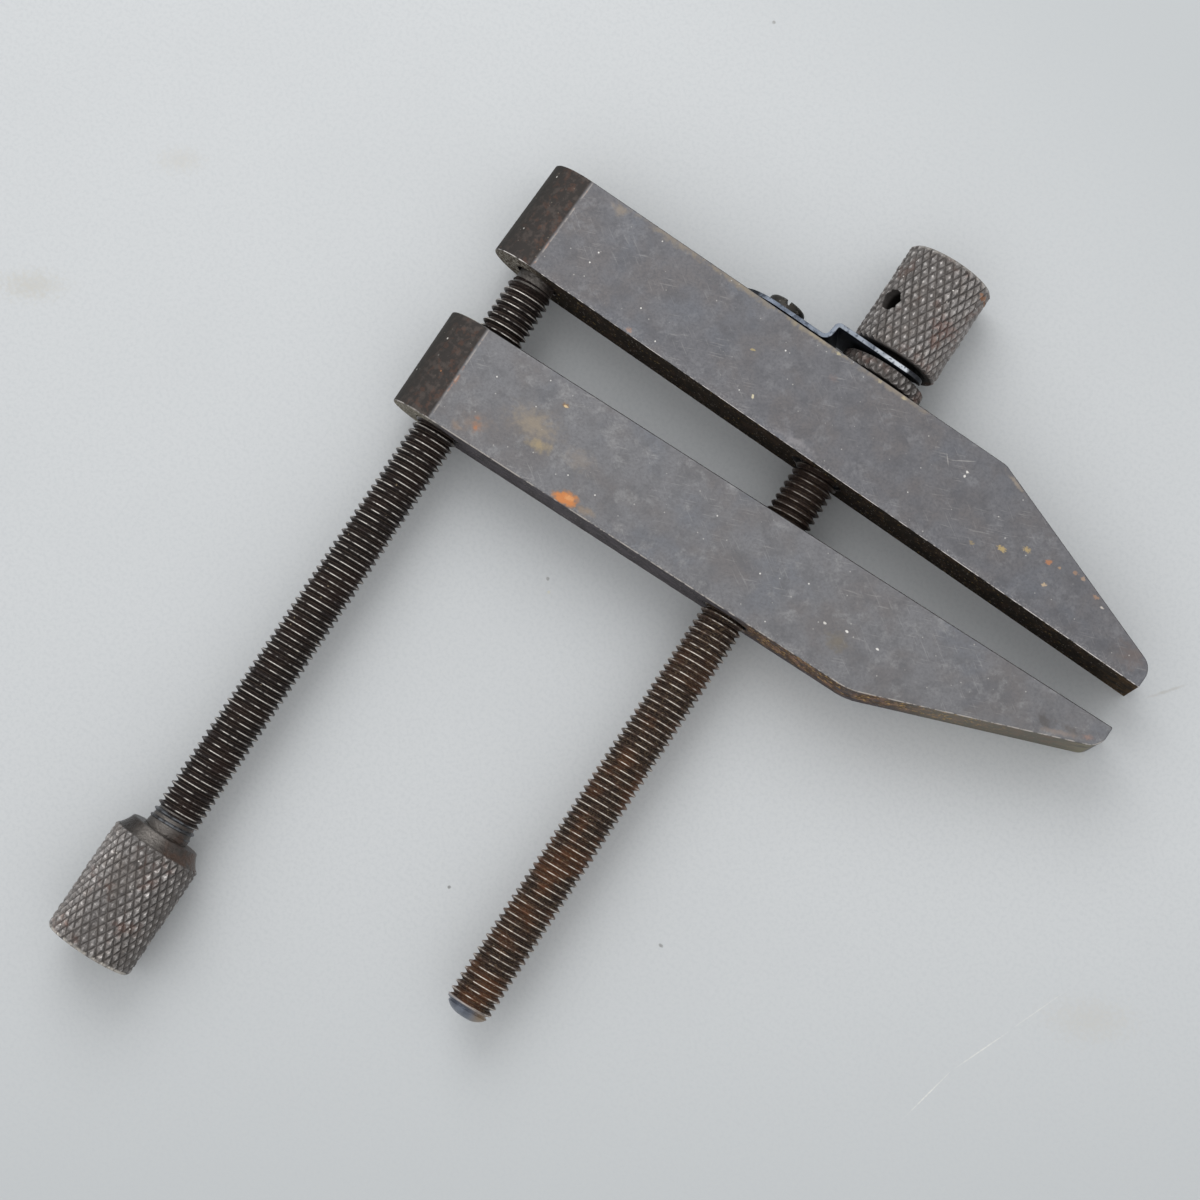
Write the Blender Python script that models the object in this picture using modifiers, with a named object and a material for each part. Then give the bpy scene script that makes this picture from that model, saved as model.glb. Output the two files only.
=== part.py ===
"""Toolmakers clamp with 100 mm jaws, modelled as its six separate pieces.

The clamp lies on the side faces of its jaws. X runs along the threaded jaw from heel to
tip, Y along the screws from the rear knob to the front knob, and Z up across the jaws'
thickness. The origin is under the middle of the whole clamp, on the surface it lies on.

Lengths are in metres and angles in degrees.
"""

import math

import bmesh
import bpy
from mathutils import Vector

# Jaws, both ground from the same bar
JAW_THICKNESS = 0.0127
TIP_REACH = 0.0485
THREADED_JAW_DEPTH = 0.0140
PLAIN_JAW_DEPTH = 0.01375
NOSE_HEIGHT = 0.0030
NOSE_SLOPE = 20.15
NOSE_RADIUS = 0.0022
SLOPE_BLEND_RADIUS = 0.0080
HEEL_RADIUS_EXCESS = 0.00012
JAW_EDGE_BREAK = 0.00022

# How the jaws stand to each other at rest
JAW_GAP = 0.00788
JAW_TILT = 2.23
SCREW_SPACING = 0.0447
HEEL_PAST_REAR_SCREW = 0.0069

# Screw threads, modelled at their outside diameter
THREAD_DIAMETER = 0.00635
TAPPED_HOLE_CLEARANCE = 0.0003
PASS_HOLE_CLEARANCE = 0.00035

# Centre screw: domed tail, threaded shank, collar, clip groove and knurled barrel
CENTRE_SHANK_LENGTH = 0.0969
TAIL_DOME_HEIGHT = 0.0024
TAIL_DOME_FLAT_RADIUS = 0.0007
COLLAR_DIAMETER = 0.0120
COLLAR_CHAMFER = 0.00045
GROOVE_DIAMETER = 0.0064
GROOVE_LENGTH = 0.001976
FRONT_BARREL_DIAMETER = 0.0122
FRONT_BARREL_LENGTH = 0.0141
CROSS_HOLE_DIAMETER = 0.0030
CROSS_HOLE_FROM_GROOVE = 0.0058
CROSS_HOLE_ANGLE = 46.5

# Rear screw: turned nose, threaded shank, plain neck, conical boss and knurled barrel
REAR_THREAD_END_TO_JAW = 0.0021
REAR_THREAD_TAPER = 0.0012
NOSE_PIN_DIAMETER = 0.0053
NOSE_PIN_CHAMFER = 0.0005
SEAT_HOLE_DEPTH = 0.0040
SEAT_HOLE_CLEARANCE = 0.00035
REAR_SHANK_LENGTH = 0.0843
NECK_LENGTH = 0.0021
NECK_DIAMETER = 0.0061
BOSS_END_DIAMETER = 0.0098
BOSS_LENGTH = 0.0018
BOSS_EDGE_RADIUS = 0.0004
REAR_BARREL_DIAMETER = 0.0123
REAR_BARREL_LENGTH = 0.0159

# Both knobs
BARREL_CHAMFER = 0.0004
BARREL_DOME_HEIGHT = 0.0004
BARREL_DOME_SHOULDER = 0.6

# Spring clip that holds the centre screw's collar to the plain jaw
CLIP_THICKNESS = 0.0006
CLIP_WIDTH = 0.0117
CLIP_FOOT_LENGTH = 0.0059
CLIP_STEP_HEIGHT = 0.0024
CLIP_STEP_ANGLE = 86.0
CLIP_LOW_BEND_RADIUS = 0.00105
CLIP_HIGH_BEND_RADIUS = 0.0005
CLIP_STEP_FROM_SCREW = 0.0086
FORK_CLEARANCE = 0.0002
FORK_TINE_REACH = 0.0049
FORK_CORNER_RADIUS = 0.0019

# Screw that holds the clip
CLIP_SCREW_FROM_AXIS = 0.0159
CLIP_SCREW_HEAD_DIAMETER = 0.0053
CLIP_SCREW_HEAD_HEIGHT = 0.0016
CLIP_SCREW_HEAD_RADIUS = 0.0007
CLIP_SCREW_SLOT_WIDTH = 0.0006
CLIP_SCREW_SLOT_DEPTH = 0.0007
CLIP_SCREW_SHANK_DIAMETER = 0.0028
CLIP_SCREW_SHANK_LENGTH = 0.0050
CLIP_SCREW_CLEARANCE = 0.0003

# Gaps and fineness
SEAT_GAP = 0.0002
CUTTER_MARGIN = 0.0020
TURN_STEPS = 64
HOLE_SIDES = 48
ARC_STEP = 7.5
ROUNDING_STEPS = 6
ROUND_END_SHARE = 0.98
MERGE_DISTANCE = 0.000001
FLAT_ANGLE = 0.2
BEVEL_ANGLE_LIMIT = 30.0
SHARP_ANGLE = 32.0

# Sizes that follow from those above
HALF_THICKNESS = JAW_THICKNESS / 2
HEEL_REACH = SCREW_SPACING + HEEL_PAST_REAR_SCREW
TILT = math.radians(JAW_TILT)
THREAD_RADIUS = THREAD_DIAMETER / 2
COLLAR_FLAT_RADIUS = COLLAR_DIAMETER / 2 - COLLAR_CHAMFER
CLIP_FOOT_BASE = PLAIN_JAW_DEPTH + SEAT_GAP
FORK_MIDDLE = CLIP_FOOT_BASE + CLIP_THICKNESS / 2 + CLIP_STEP_HEIGHT
FORK_AXIS = -FORK_MIDDLE * math.tan(TILT)
FORK_LEAN = FRONT_BARREL_DIAMETER / 2 * math.tan(TILT)
FORK_SPACE = CLIP_THICKNESS + 2 * (FORK_LEAN + FORK_CLEARANCE)

# Places along the screws, counted from the threaded jaw's clamping face
COLLAR_SEAT = JAW_GAP + (PLAIN_JAW_DEPTH + COLLAR_FLAT_RADIUS * math.sin(TILT)) / math.cos(TILT) + SEAT_GAP
GROOVE_START = JAW_GAP + FORK_MIDDLE / math.cos(TILT) - FORK_SPACE / 2
FRONT_BARREL_START = GROOVE_START + GROOVE_LENGTH
FRONT_END = FRONT_BARREL_START + FRONT_BARREL_LENGTH + BARREL_DOME_HEIGHT
REAR_JAW_FACE = JAW_GAP + SCREW_SPACING * math.tan(TILT)
REAR_THREAD_END = REAR_JAW_FACE - REAR_THREAD_END_TO_JAW
BOSS_FACE = REAR_THREAD_END - REAR_SHANK_LENGTH
REAR_END = BOSS_FACE - BOSS_LENGTH - REAR_BARREL_LENGTH - BARREL_DOME_HEIGHT
NOSE_PIN_LEAN = (SCREW_SPACING - NOSE_PIN_DIAMETER / 2) * math.sin(TILT)
NOSE_PIN_END = JAW_GAP + (SEAT_HOLE_DEPTH - SEAT_GAP + NOSE_PIN_LEAN) / math.cos(TILT)

# The threaded jaw's clamping face and the centre screw's axis, from the clamp's middle
CLAMP_FACE_Y = -(FRONT_END + REAR_END) / 2
CENTRE_AXIS_X = (HEEL_REACH - TIP_REACH) / 2


def clear_scene():
    """Remove every object that the file came with"""
    for obj in list(bpy.data.objects):
        bpy.data.objects.remove(obj, do_unlink=True)


def new_collection(name):
    """A collection linked to the scene"""
    collection = bpy.data.collections.new(name)
    bpy.context.scene.collection.children.link(collection)
    return collection


def new_material(name, colour, roughness, metallic):
    """A plain metal finish"""
    material = bpy.data.materials.new(name)
    material.use_nodes = True
    shader = material.node_tree.nodes["Principled BSDF"]
    shader.inputs["Base Color"].default_value = (*colour, 1.0)
    shader.inputs["Roughness"].default_value = roughness
    shader.inputs["Metallic"].default_value = metallic
    return material


def new_frame(name, location, turn, collection):
    """An empty that carries the pieces fixed to one another"""
    frame = bpy.data.objects.new(name, None)
    frame.empty_display_size = 0.01
    frame.location = location
    frame.rotation_euler = (0.0, 0.0, turn)
    collection.objects.link(frame)
    return frame


def rounded_outline(corners):
    """Outline through corners given as (x, y, radius), with an arc at each rounded one"""
    outline = []
    for index, (x, y, radius) in enumerate(corners):
        corner = Vector((x, y))
        before = (Vector(corners[index - 1][:2]) - corner).normalized()
        after = (Vector(corners[(index + 1) % len(corners)][:2]) - corner).normalized()
        if radius == 0.0:
            outline.append((x, y))
            continue
        half = before.angle(after) / 2
        centre = corner + (before + after).normalized() * radius / math.sin(half)
        start = corner + before * radius / math.tan(half) - centre
        turn = math.pi - 2 * half
        if before.x * after.y - before.y * after.x > 0:
            turn = -turn
        steps = max(2, math.ceil(math.degrees(abs(turn)) / ARC_STEP))
        for step in range(steps + 1):
            angle = turn * step / steps
            across = start.x * math.cos(angle) - start.y * math.sin(angle)
            along = start.x * math.sin(angle) + start.y * math.cos(angle)
            outline.append((centre.x + across, centre.y + along))
    return outline


def weld(mesh):
    """Close a mesh made from a curve and merge its flat faces"""
    shape = bmesh.new()
    shape.from_mesh(mesh)
    bmesh.ops.remove_doubles(shape, verts=shape.verts, dist=MERGE_DISTANCE)
    flat = math.radians(FLAT_ANGLE)
    bmesh.ops.dissolve_limit(shape, angle_limit=flat, verts=shape.verts, edges=shape.edges)
    bmesh.ops.recalc_face_normals(shape, faces=shape.faces)
    shape.to_mesh(mesh)
    shape.free()


def extruded(name, outline, thickness, collection):
    """Solid of an outline in the object's XY plane, half its thickness to each side"""
    curve = bpy.data.curves.new(name, "CURVE")
    curve.dimensions = "2D"
    curve.fill_mode = "BOTH"
    curve.extrude = thickness / 2
    spline = curve.splines.new("POLY")
    spline.points.add(len(outline) - 1)
    for point, (x, y) in zip(spline.points, outline):
        point.co = (x, y, 0.0, 1.0)
    spline.use_cyclic_u = True
    guide = bpy.data.objects.new(name + "_curve", curve)
    collection.objects.link(guide)
    bpy.context.view_layer.update()
    evaluated = guide.evaluated_get(bpy.context.evaluated_depsgraph_get())
    mesh = bpy.data.meshes.new_from_object(evaluated)
    weld(mesh)
    solid = bpy.data.objects.new(name, mesh)
    solid.matrix_world = guide.matrix_world
    collection.objects.link(solid)
    bpy.data.objects.remove(guide, do_unlink=True)
    return solid


def turned(name, profile, collection):
    """Solid turned about the object's Z axis from (radius, height) points, top to bottom"""
    mesh = bpy.data.meshes.new(name)
    points = [(radius, 0.0, height) for radius, height in profile]
    mesh.from_pydata(points, [(i, i + 1) for i in range(len(points) - 1)], [])
    solid = bpy.data.objects.new(name, mesh)
    collection.objects.link(solid)
    screw = solid.modifiers.new("turn", "SCREW")
    screw.axis = "Z"
    screw.steps = TURN_STEPS
    screw.render_steps = TURN_STEPS
    screw.use_merge_vertices = True
    screw.merge_threshold = MERGE_DISTANCE
    screw.use_smooth_shade = True
    return solid


def drill(name, diameter, start, end, collection):
    """Round cutter along the object's Z axis, from start to end"""
    bpy.ops.mesh.primitive_cylinder_add(vertices=HOLE_SIDES, radius=diameter / 2, depth=end - start)
    cutter = bpy.context.object
    cutter.name = name
    for vertex in cutter.data.vertices:
        vertex.co.z += (start + end) / 2
    take_in(cutter, collection)
    return cutter


def block(name, size, centre, collection):
    """Box cutter of the given size about a centre"""
    bpy.ops.mesh.primitive_cube_add(size=1.0)
    cutter = bpy.context.object
    cutter.name = name
    for vertex in cutter.data.vertices:
        vertex.co = Vector([c * s + m for c, s, m in zip(vertex.co, size, centre)])
    take_in(cutter, collection)
    return cutter


def take_in(obj, collection):
    """Move an object that an operator made into its own collection"""
    for holder in list(obj.users_collection):
        holder.objects.unlink(obj)
    collection.objects.link(obj)


def lie_along_y(obj):
    """Point the object's own Z axis along Y"""
    obj.rotation_euler = (math.radians(-90.0), 0.0, 0.0)


def cut(piece, tool, operation="DIFFERENCE"):
    """Cut a piece with a tool that stays in the scene as a hidden guide"""
    tool.hide_render = True
    tool.display_type = "WIRE"
    step = piece.modifiers.new(tool.name, "BOOLEAN")
    step.operation = operation
    step.solver = "EXACT"
    step.object = tool


def break_edges(piece, width):
    """Take the sharpness off a piece's edges"""
    bevel = piece.modifiers.new("edge_break", "BEVEL")
    bevel.width = width
    bevel.segments = 2
    bevel.limit_method = "ANGLE"
    bevel.angle_limit = math.radians(BEVEL_ANGLE_LIMIT)
    bevel.harden_normals = True


def shade(piece, material):
    """Give a piece its finish, smooth where it is round"""
    piece.data.materials.clear()
    piece.data.materials.append(material)
    piece.data.shade_smooth()
    piece.data.set_sharp_from_angle(angle=math.radians(SHARP_ANGLE))


def jaw_blank(name, depth, side, pieces, cutters):
    """Jaw without holes: clamping face on Y = 0, its depth towards side, centre screw at X = 0"""
    slope_run = (depth - NOSE_HEIGHT) / math.tan(math.radians(NOSE_SLOPE))
    past_heel = -HEEL_REACH - CUTTER_MARGIN
    corners = [
        (past_heel, 0.0, 0.0),
        (TIP_REACH, 0.0, 0.0),
        (TIP_REACH, side * NOSE_HEIGHT, NOSE_RADIUS),
        (TIP_REACH - slope_run, side * depth, SLOPE_BLEND_RADIUS),
        (past_heel, side * depth, 0.0),
    ]
    jaw = extruded(name, rounded_outline(corners), JAW_THICKNESS + 2 * CUTTER_MARGIN, pieces)
    plan = extruded(name + "_plan", heel_plan(), depth + 2 * CUTTER_MARGIN, cutters)
    plan.rotation_euler = (math.radians(90.0), 0.0, 0.0)
    plan.location = (0.0, side * depth / 2, 0.0)
    plan.parent = jaw
    cut(jaw, plan, "INTERSECT")
    return jaw


def heel_plan():
    """Outline of a jaw seen along the screws: a bar with one round end"""
    radius = HALF_THICKNESS + HEEL_RADIUS_EXCESS
    centre = radius - HEEL_REACH
    sweep = math.asin(HALF_THICKNESS / radius)
    steps = math.ceil(math.degrees(2 * sweep) / ARC_STEP)
    outline = [(TIP_REACH + CUTTER_MARGIN, -HALF_THICKNESS), (TIP_REACH + CUTTER_MARGIN, HALF_THICKNESS)]
    for step in range(steps + 1):
        angle = sweep - 2 * sweep * step / steps
        outline.append((centre - radius * math.cos(angle), radius * math.sin(angle)))
    return outline


def drill_jaw(jaw, name, diameter, x, start, end, cutters):
    """Drill a jaw along its own Y axis at x, from start to end"""
    tool = drill(name, diameter, start, end, cutters)
    lie_along_y(tool)
    tool.location = (x, 0.0, 0.0)
    tool.parent = jaw
    cut(jaw, tool)


def make_threaded_jaw(frame, steel, pieces, cutters):
    """Jaw that both screws are threaded through"""
    jaw = jaw_blank("threaded_jaw", THREADED_JAW_DEPTH, -1.0, pieces, cutters)
    jaw.parent = frame
    hole = THREAD_DIAMETER + 2 * TAPPED_HOLE_CLEARANCE
    start = -THREADED_JAW_DEPTH - CUTTER_MARGIN
    drill_jaw(jaw, "centre_tapped_hole", hole, 0.0, start, CUTTER_MARGIN, cutters)
    drill_jaw(jaw, "rear_tapped_hole", hole, -SCREW_SPACING, start, CUTTER_MARGIN, cutters)
    break_edges(jaw, JAW_EDGE_BREAK)
    shade(jaw, steel)


def make_plain_jaw(frame, steel, pieces, cutters):
    """Jaw that the centre screw passes through and the rear screw pushes on"""
    jaw = jaw_blank("plain_jaw", PLAIN_JAW_DEPTH, 1.0, pieces, cutters)
    jaw.parent = frame
    lean = PLAIN_JAW_DEPTH / 2 * math.tan(TILT)
    passing = THREAD_DIAMETER + 2 * (PASS_HOLE_CLEARANCE + lean)
    end = PLAIN_JAW_DEPTH + CUTTER_MARGIN
    drill_jaw(jaw, "pass_hole", passing, -lean, -CUTTER_MARGIN, end, cutters)
    seat_lean = SEAT_HOLE_DEPTH / 2 * math.tan(TILT)
    seat = NOSE_PIN_DIAMETER + 2 * (SEAT_HOLE_CLEARANCE + seat_lean)
    seat_x = -SCREW_SPACING / math.cos(TILT) - seat_lean
    drill_jaw(jaw, "seat_hole", seat, seat_x, -CUTTER_MARGIN, SEAT_HOLE_DEPTH, cutters)
    tapped = CLIP_SCREW_SHANK_DIAMETER + 2 * CLIP_SCREW_CLEARANCE
    under_head = CLIP_FOOT_BASE + CLIP_THICKNESS + SEAT_GAP
    bottom = under_head - CLIP_SCREW_SHANK_LENGTH - CLIP_SCREW_CLEARANCE
    drill_jaw(jaw, "clip_screw_hole", tapped, -CLIP_SCREW_FROM_AXIS, bottom, end, cutters)
    break_edges(jaw, JAW_EDGE_BREAK)
    shade(jaw, steel)


def barrel_profile(radius, outer, inner):
    """Knob barrel from its free end at outer to its plain end at inner, as (radius, height)"""
    sign = 1.0 if outer > inner else -1.0
    rim = outer - sign * BARREL_DOME_HEIGHT
    flat = radius - BARREL_CHAMFER
    crown = (0.0, outer)
    drop = BARREL_DOME_HEIGHT * BARREL_DOME_SHOULDER ** 2
    shoulder = (BARREL_DOME_SHOULDER * flat, outer - sign * drop)
    edge = (flat, rim)
    free_rim = (radius, rim - sign * BARREL_CHAMFER)
    plain_rim = (radius, inner + sign * BARREL_CHAMFER)
    plain_edge = (flat, inner)
    return [crown, shoulder, edge, free_rim, plain_rim, plain_edge]


def rounded_edge(radius, top, soft):
    """Edge of a turned end face, rounded from the face down to the side"""
    points = []
    for step in range(ROUNDING_STEPS + 1):
        angle = math.radians(90.0) * step / ROUNDING_STEPS
        points.append((radius - soft + soft * math.sin(angle), top - soft + soft * math.cos(angle)))
    return points


def tail_dome(end):
    """Domed screw end, from the thread's outside down to the axis"""
    points = []
    for step in range(ROUNDING_STEPS + 1):
        angle = math.radians(90.0) * step / ROUNDING_STEPS
        radius = TAIL_DOME_FLAT_RADIUS + (THREAD_RADIUS - TAIL_DOME_FLAT_RADIUS) * math.cos(angle)
        points.append((radius, end + TAIL_DOME_HEIGHT * (1.0 - math.sin(angle))))
    points.append((0.0, end))
    return points


def make_centre_screw(frame, steel, pieces, cutters):
    """Screw that draws the jaws together, its collar bearing on the plain jaw"""
    barrel = barrel_profile(FRONT_BARREL_DIAMETER / 2, FRONT_END, FRONT_BARREL_START)
    collar_radius = COLLAR_DIAMETER / 2
    profile = barrel + [
        (GROOVE_DIAMETER / 2, FRONT_BARREL_START),
        (GROOVE_DIAMETER / 2, GROOVE_START),
        (COLLAR_FLAT_RADIUS, GROOVE_START),
        (collar_radius, GROOVE_START - COLLAR_CHAMFER),
        (collar_radius, COLLAR_SEAT + COLLAR_CHAMFER),
        (COLLAR_FLAT_RADIUS, COLLAR_SEAT),
        (THREAD_RADIUS, COLLAR_SEAT),
    ] + tail_dome(COLLAR_SEAT - CENTRE_SHANK_LENGTH)
    screw = turned("centre_screw", profile, pieces)
    lie_along_y(screw)
    screw.parent = frame
    reach = FRONT_BARREL_DIAMETER / 2 + CUTTER_MARGIN
    hole = drill("cross_hole", CROSS_HOLE_DIAMETER, -reach, reach, cutters)
    hole.rotation_euler = (0.0, -math.radians(CROSS_HOLE_ANGLE), 0.0)
    hole.location = (0.0, FRONT_BARREL_START + CROSS_HOLE_FROM_GROOVE, 0.0)
    hole.parent = frame
    cut(screw, hole)
    shade(screw, steel)


def make_rear_screw(frame, steel, pieces):
    """Screw that pushes the plain jaw's heel away, its nose seated in that jaw"""
    nose = NOSE_PIN_DIAMETER / 2
    neck = NECK_DIAMETER / 2
    shank = [
        (0.0, NOSE_PIN_END),
        (nose - NOSE_PIN_CHAMFER, NOSE_PIN_END),
        (nose, NOSE_PIN_END - NOSE_PIN_CHAMFER),
        (nose, REAR_THREAD_END + REAR_THREAD_TAPER),
        (THREAD_RADIUS, REAR_THREAD_END),
        (THREAD_RADIUS, BOSS_FACE + NECK_LENGTH),
        (neck, BOSS_FACE + NECK_LENGTH - (THREAD_RADIUS - neck)),
        (neck, BOSS_FACE),
    ]
    boss_end = rounded_edge(BOSS_END_DIAMETER / 2, BOSS_FACE, BOSS_EDGE_RADIUS)
    barrel = barrel_profile(REAR_BARREL_DIAMETER / 2, REAR_END, BOSS_FACE - BOSS_LENGTH)
    profile = shank + boss_end + list(reversed(barrel))
    screw = turned("rear_screw", profile, pieces)
    lie_along_y(screw)
    screw.location = (-SCREW_SPACING, 0.0, 0.0)
    screw.parent = frame
    shade(screw, steel)


def clip_path():
    """The clip's middle line seen from the side, from foot to fork, as (x, y)"""
    foot = CLIP_FOOT_BASE + CLIP_THICKNESS / 2
    rise = math.radians(CLIP_STEP_ANGLE)
    step_run = CLIP_STEP_HEIGHT / math.tan(rise)
    step_start = -CLIP_STEP_FROM_SCREW - step_run
    corners = [
        (-CLIP_SCREW_FROM_AXIS - CLIP_FOOT_LENGTH - CUTTER_MARGIN, foot, 0.0),
        (step_start, foot, CLIP_LOW_BEND_RADIUS),
        (step_start + step_run, FORK_MIDDLE, CLIP_HIGH_BEND_RADIUS),
        (FORK_TINE_REACH + CUTTER_MARGIN, FORK_MIDDLE, 0.0),
    ]
    return rounded_outline(corners)


def clip_plan():
    """The clip's outside seen along its screw: a round foot and a fork with soft corners"""
    half = CLIP_WIDTH / 2
    foot_end = -CLIP_SCREW_FROM_AXIS - CLIP_FOOT_LENGTH
    tip = FORK_AXIS + FORK_TINE_REACH
    corners = [
        (foot_end, -half, ROUND_END_SHARE * half),
        (tip, -half, FORK_CORNER_RADIUS),
        (tip, half, FORK_CORNER_RADIUS),
        (foot_end, half, ROUND_END_SHARE * half),
    ]
    return rounded_outline(corners)


def fork_slot():
    """The fork's slot round the centre screw's groove, open at the tip end"""
    half = GROOVE_DIAMETER / 2 + FORK_CLEARANCE
    past_tip = FORK_AXIS + FORK_TINE_REACH + CUTTER_MARGIN
    corners = [
        (past_tip, -half, 0.0),
        (FORK_AXIS - half, -half, ROUND_END_SHARE * half),
        (FORK_AXIS - half, half, ROUND_END_SHARE * half),
        (past_tip, half, 0.0),
    ]
    return rounded_outline(corners)


def make_spring_clip(frame, steel, pieces, cutters):
    """Cranked spring strip whose fork sits in the centre screw's groove"""
    path = clip_path()
    mesh = bpy.data.meshes.new("spring_clip")
    half = CLIP_WIDTH / 2 + CUTTER_MARGIN
    shape = bmesh.new()
    line = [shape.verts.new((x, y, -half)) for x, y in path]
    edges = [shape.edges.new(pair) for pair in zip(line[:-1], line[1:])]
    swept = bmesh.ops.extrude_edge_only(shape, edges=edges)["geom"]
    raised = [item for item in swept if isinstance(item, bmesh.types.BMVert)]
    bmesh.ops.translate(shape, verts=raised, vec=(0.0, 0.0, 2 * half))
    shape.to_mesh(mesh)
    shape.free()
    clip = bpy.data.objects.new("spring_clip", mesh)
    pieces.objects.link(clip)
    clip.parent = frame
    wall = clip.modifiers.new("thickness", "SOLIDIFY")
    wall.thickness = CLIP_THICKNESS
    wall.offset = 0.0
    wall.use_even_offset = True
    foot_middle = CLIP_FOOT_BASE + CLIP_THICKNESS / 2
    tool_height = CLIP_STEP_HEIGHT + CLIP_THICKNESS + 2 * CUTTER_MARGIN
    for name, outline, operation in (
        ("clip_plan", clip_plan(), "INTERSECT"),
        ("fork_slot", fork_slot(), "DIFFERENCE"),
    ):
        tool = extruded(name, outline, tool_height, cutters)
        tool.rotation_euler = (math.radians(90.0), 0.0, 0.0)
        tool.location = (0.0, (foot_middle + FORK_MIDDLE) / 2, 0.0)
        tool.parent = frame
        cut(clip, tool, operation)
    hole_size = CLIP_SCREW_SHANK_DIAMETER + 2 * CLIP_SCREW_CLEARANCE
    hole = drill("clip_hole", hole_size, -CUTTER_MARGIN, CUTTER_MARGIN, cutters)
    lie_along_y(hole)
    hole.location = (-CLIP_SCREW_FROM_AXIS, CLIP_FOOT_BASE, 0.0)
    hole.parent = frame
    cut(clip, hole)
    shade(clip, steel)


def make_clip_screw(frame, steel, pieces, cutters):
    """Small slotted screw that holds the clip's foot to the plain jaw"""
    shank = CLIP_SCREW_SHANK_DIAMETER / 2
    head = CLIP_SCREW_HEAD_DIAMETER / 2
    top = CLIP_SCREW_HEAD_HEIGHT
    profile = [(0.0, top)] + rounded_edge(head, top, CLIP_SCREW_HEAD_RADIUS) + [
        (head, 0.0),
        (shank, 0.0),
        (shank, -CLIP_SCREW_SHANK_LENGTH),
        (0.0, -CLIP_SCREW_SHANK_LENGTH),
    ]
    screw = turned("clip_screw", profile, pieces)
    lie_along_y(screw)
    under_head = CLIP_FOOT_BASE + CLIP_THICKNESS + SEAT_GAP
    screw.location = (-CLIP_SCREW_FROM_AXIS, under_head, 0.0)
    screw.parent = frame
    size = (CLIP_SCREW_SLOT_WIDTH, CLIP_SCREW_HEAD_DIAMETER + CUTTER_MARGIN, CUTTER_MARGIN)
    slot_bottom = top - CLIP_SCREW_SLOT_DEPTH
    slot = block("driver_slot", size, (0.0, 0.0, slot_bottom + CUTTER_MARGIN / 2), cutters)
    slot.parent = screw
    cut(screw, slot)
    shade(screw, steel)


def main():
    """Build the clamp at rest"""
    clear_scene()
    pieces = new_collection("toolmakers_clamp")
    cutters = new_collection("cutters")
    jaw_steel = new_material("blacked_jaw_steel", (0.125, 0.125, 0.132), 0.42, 0.75)
    screw_steel = new_material("blacked_screw_steel", (0.085, 0.075, 0.065), 0.5, 0.75)
    spring_steel = new_material("blued_spring_steel", (0.20, 0.21, 0.25), 0.32, 0.9)
    small_screw_steel = new_material("blacked_small_screw", (0.06, 0.06, 0.06), 0.5, 0.8)

    at_threaded_jaw = (CENTRE_AXIS_X, CLAMP_FACE_Y, HALF_THICKNESS)
    at_plain_jaw = (CENTRE_AXIS_X, CLAMP_FACE_Y + JAW_GAP, HALF_THICKNESS)
    screw_frame = new_frame("screw_frame", at_threaded_jaw, 0.0, pieces)
    tilted_frame = new_frame("plain_jaw_frame", at_plain_jaw, -TILT, pieces)

    make_threaded_jaw(screw_frame, jaw_steel, pieces, cutters)
    make_plain_jaw(tilted_frame, jaw_steel, pieces, cutters)
    make_centre_screw(screw_frame, screw_steel, pieces, cutters)
    make_rear_screw(screw_frame, screw_steel, pieces)
    make_spring_clip(tilted_frame, spring_steel, pieces, cutters)
    make_clip_screw(tilted_frame, small_screw_steel, pieces, cutters)
    bpy.context.view_layer.update()


main()
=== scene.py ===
"""Looks of a toolmakers clamp with 100 mm jaws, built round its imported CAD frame.

The clamp lies on the side faces of its jaws. X runs along the threaded jaw from heel to
tip, Y along the screws from the rear knob to the front knob, and Z up. Lengths are in
metres and angles in degrees.
"""

import logging
import math
from collections.abc import Callable, Iterator, Sequence
from contextlib import contextmanager
from dataclasses import dataclass
from enum import Enum
from typing import Any

import bmesh
import bpy
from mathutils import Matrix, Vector


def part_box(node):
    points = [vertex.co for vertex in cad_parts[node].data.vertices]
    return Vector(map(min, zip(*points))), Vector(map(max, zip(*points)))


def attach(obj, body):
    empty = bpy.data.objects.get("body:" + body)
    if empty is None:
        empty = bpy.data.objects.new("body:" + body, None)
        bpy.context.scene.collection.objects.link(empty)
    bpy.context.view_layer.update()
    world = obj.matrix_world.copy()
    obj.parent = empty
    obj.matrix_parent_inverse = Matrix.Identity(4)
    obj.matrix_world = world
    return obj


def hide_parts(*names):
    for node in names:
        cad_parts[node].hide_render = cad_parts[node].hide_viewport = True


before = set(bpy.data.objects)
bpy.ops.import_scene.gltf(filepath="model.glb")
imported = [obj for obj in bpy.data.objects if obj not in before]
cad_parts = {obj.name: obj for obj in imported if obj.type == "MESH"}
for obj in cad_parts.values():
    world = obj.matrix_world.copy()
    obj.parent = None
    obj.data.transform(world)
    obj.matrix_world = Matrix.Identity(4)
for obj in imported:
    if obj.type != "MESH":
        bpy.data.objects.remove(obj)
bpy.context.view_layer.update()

Piece = bpy.types.Object
Material = bpy.types.Material
Socket = bpy.types.NodeSocket
Layers = list[tuple[Socket, str]]
Place = tuple[float, float, float]
Profile = list[tuple[float, float]]

LOG = logging.getLogger("toolmakers_clamp")

MM = 0.001
MERGE_DISTANCE = 0.000001
PICK_DISTANCE = 10 * MERGE_DISTANCE
SMOOTH_ANGLE = 30.0
KNURL_SMOOTH_ANGLE = 18.0
CUT_MARGIN = 0.002
TRIM_MARGIN = 0.00004
TURN_STEPS = 96
HOLE_SIDES = 64
NEARLY_HALF = 0.98
LYING = (-90.0, 0.0, 0.0)

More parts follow.
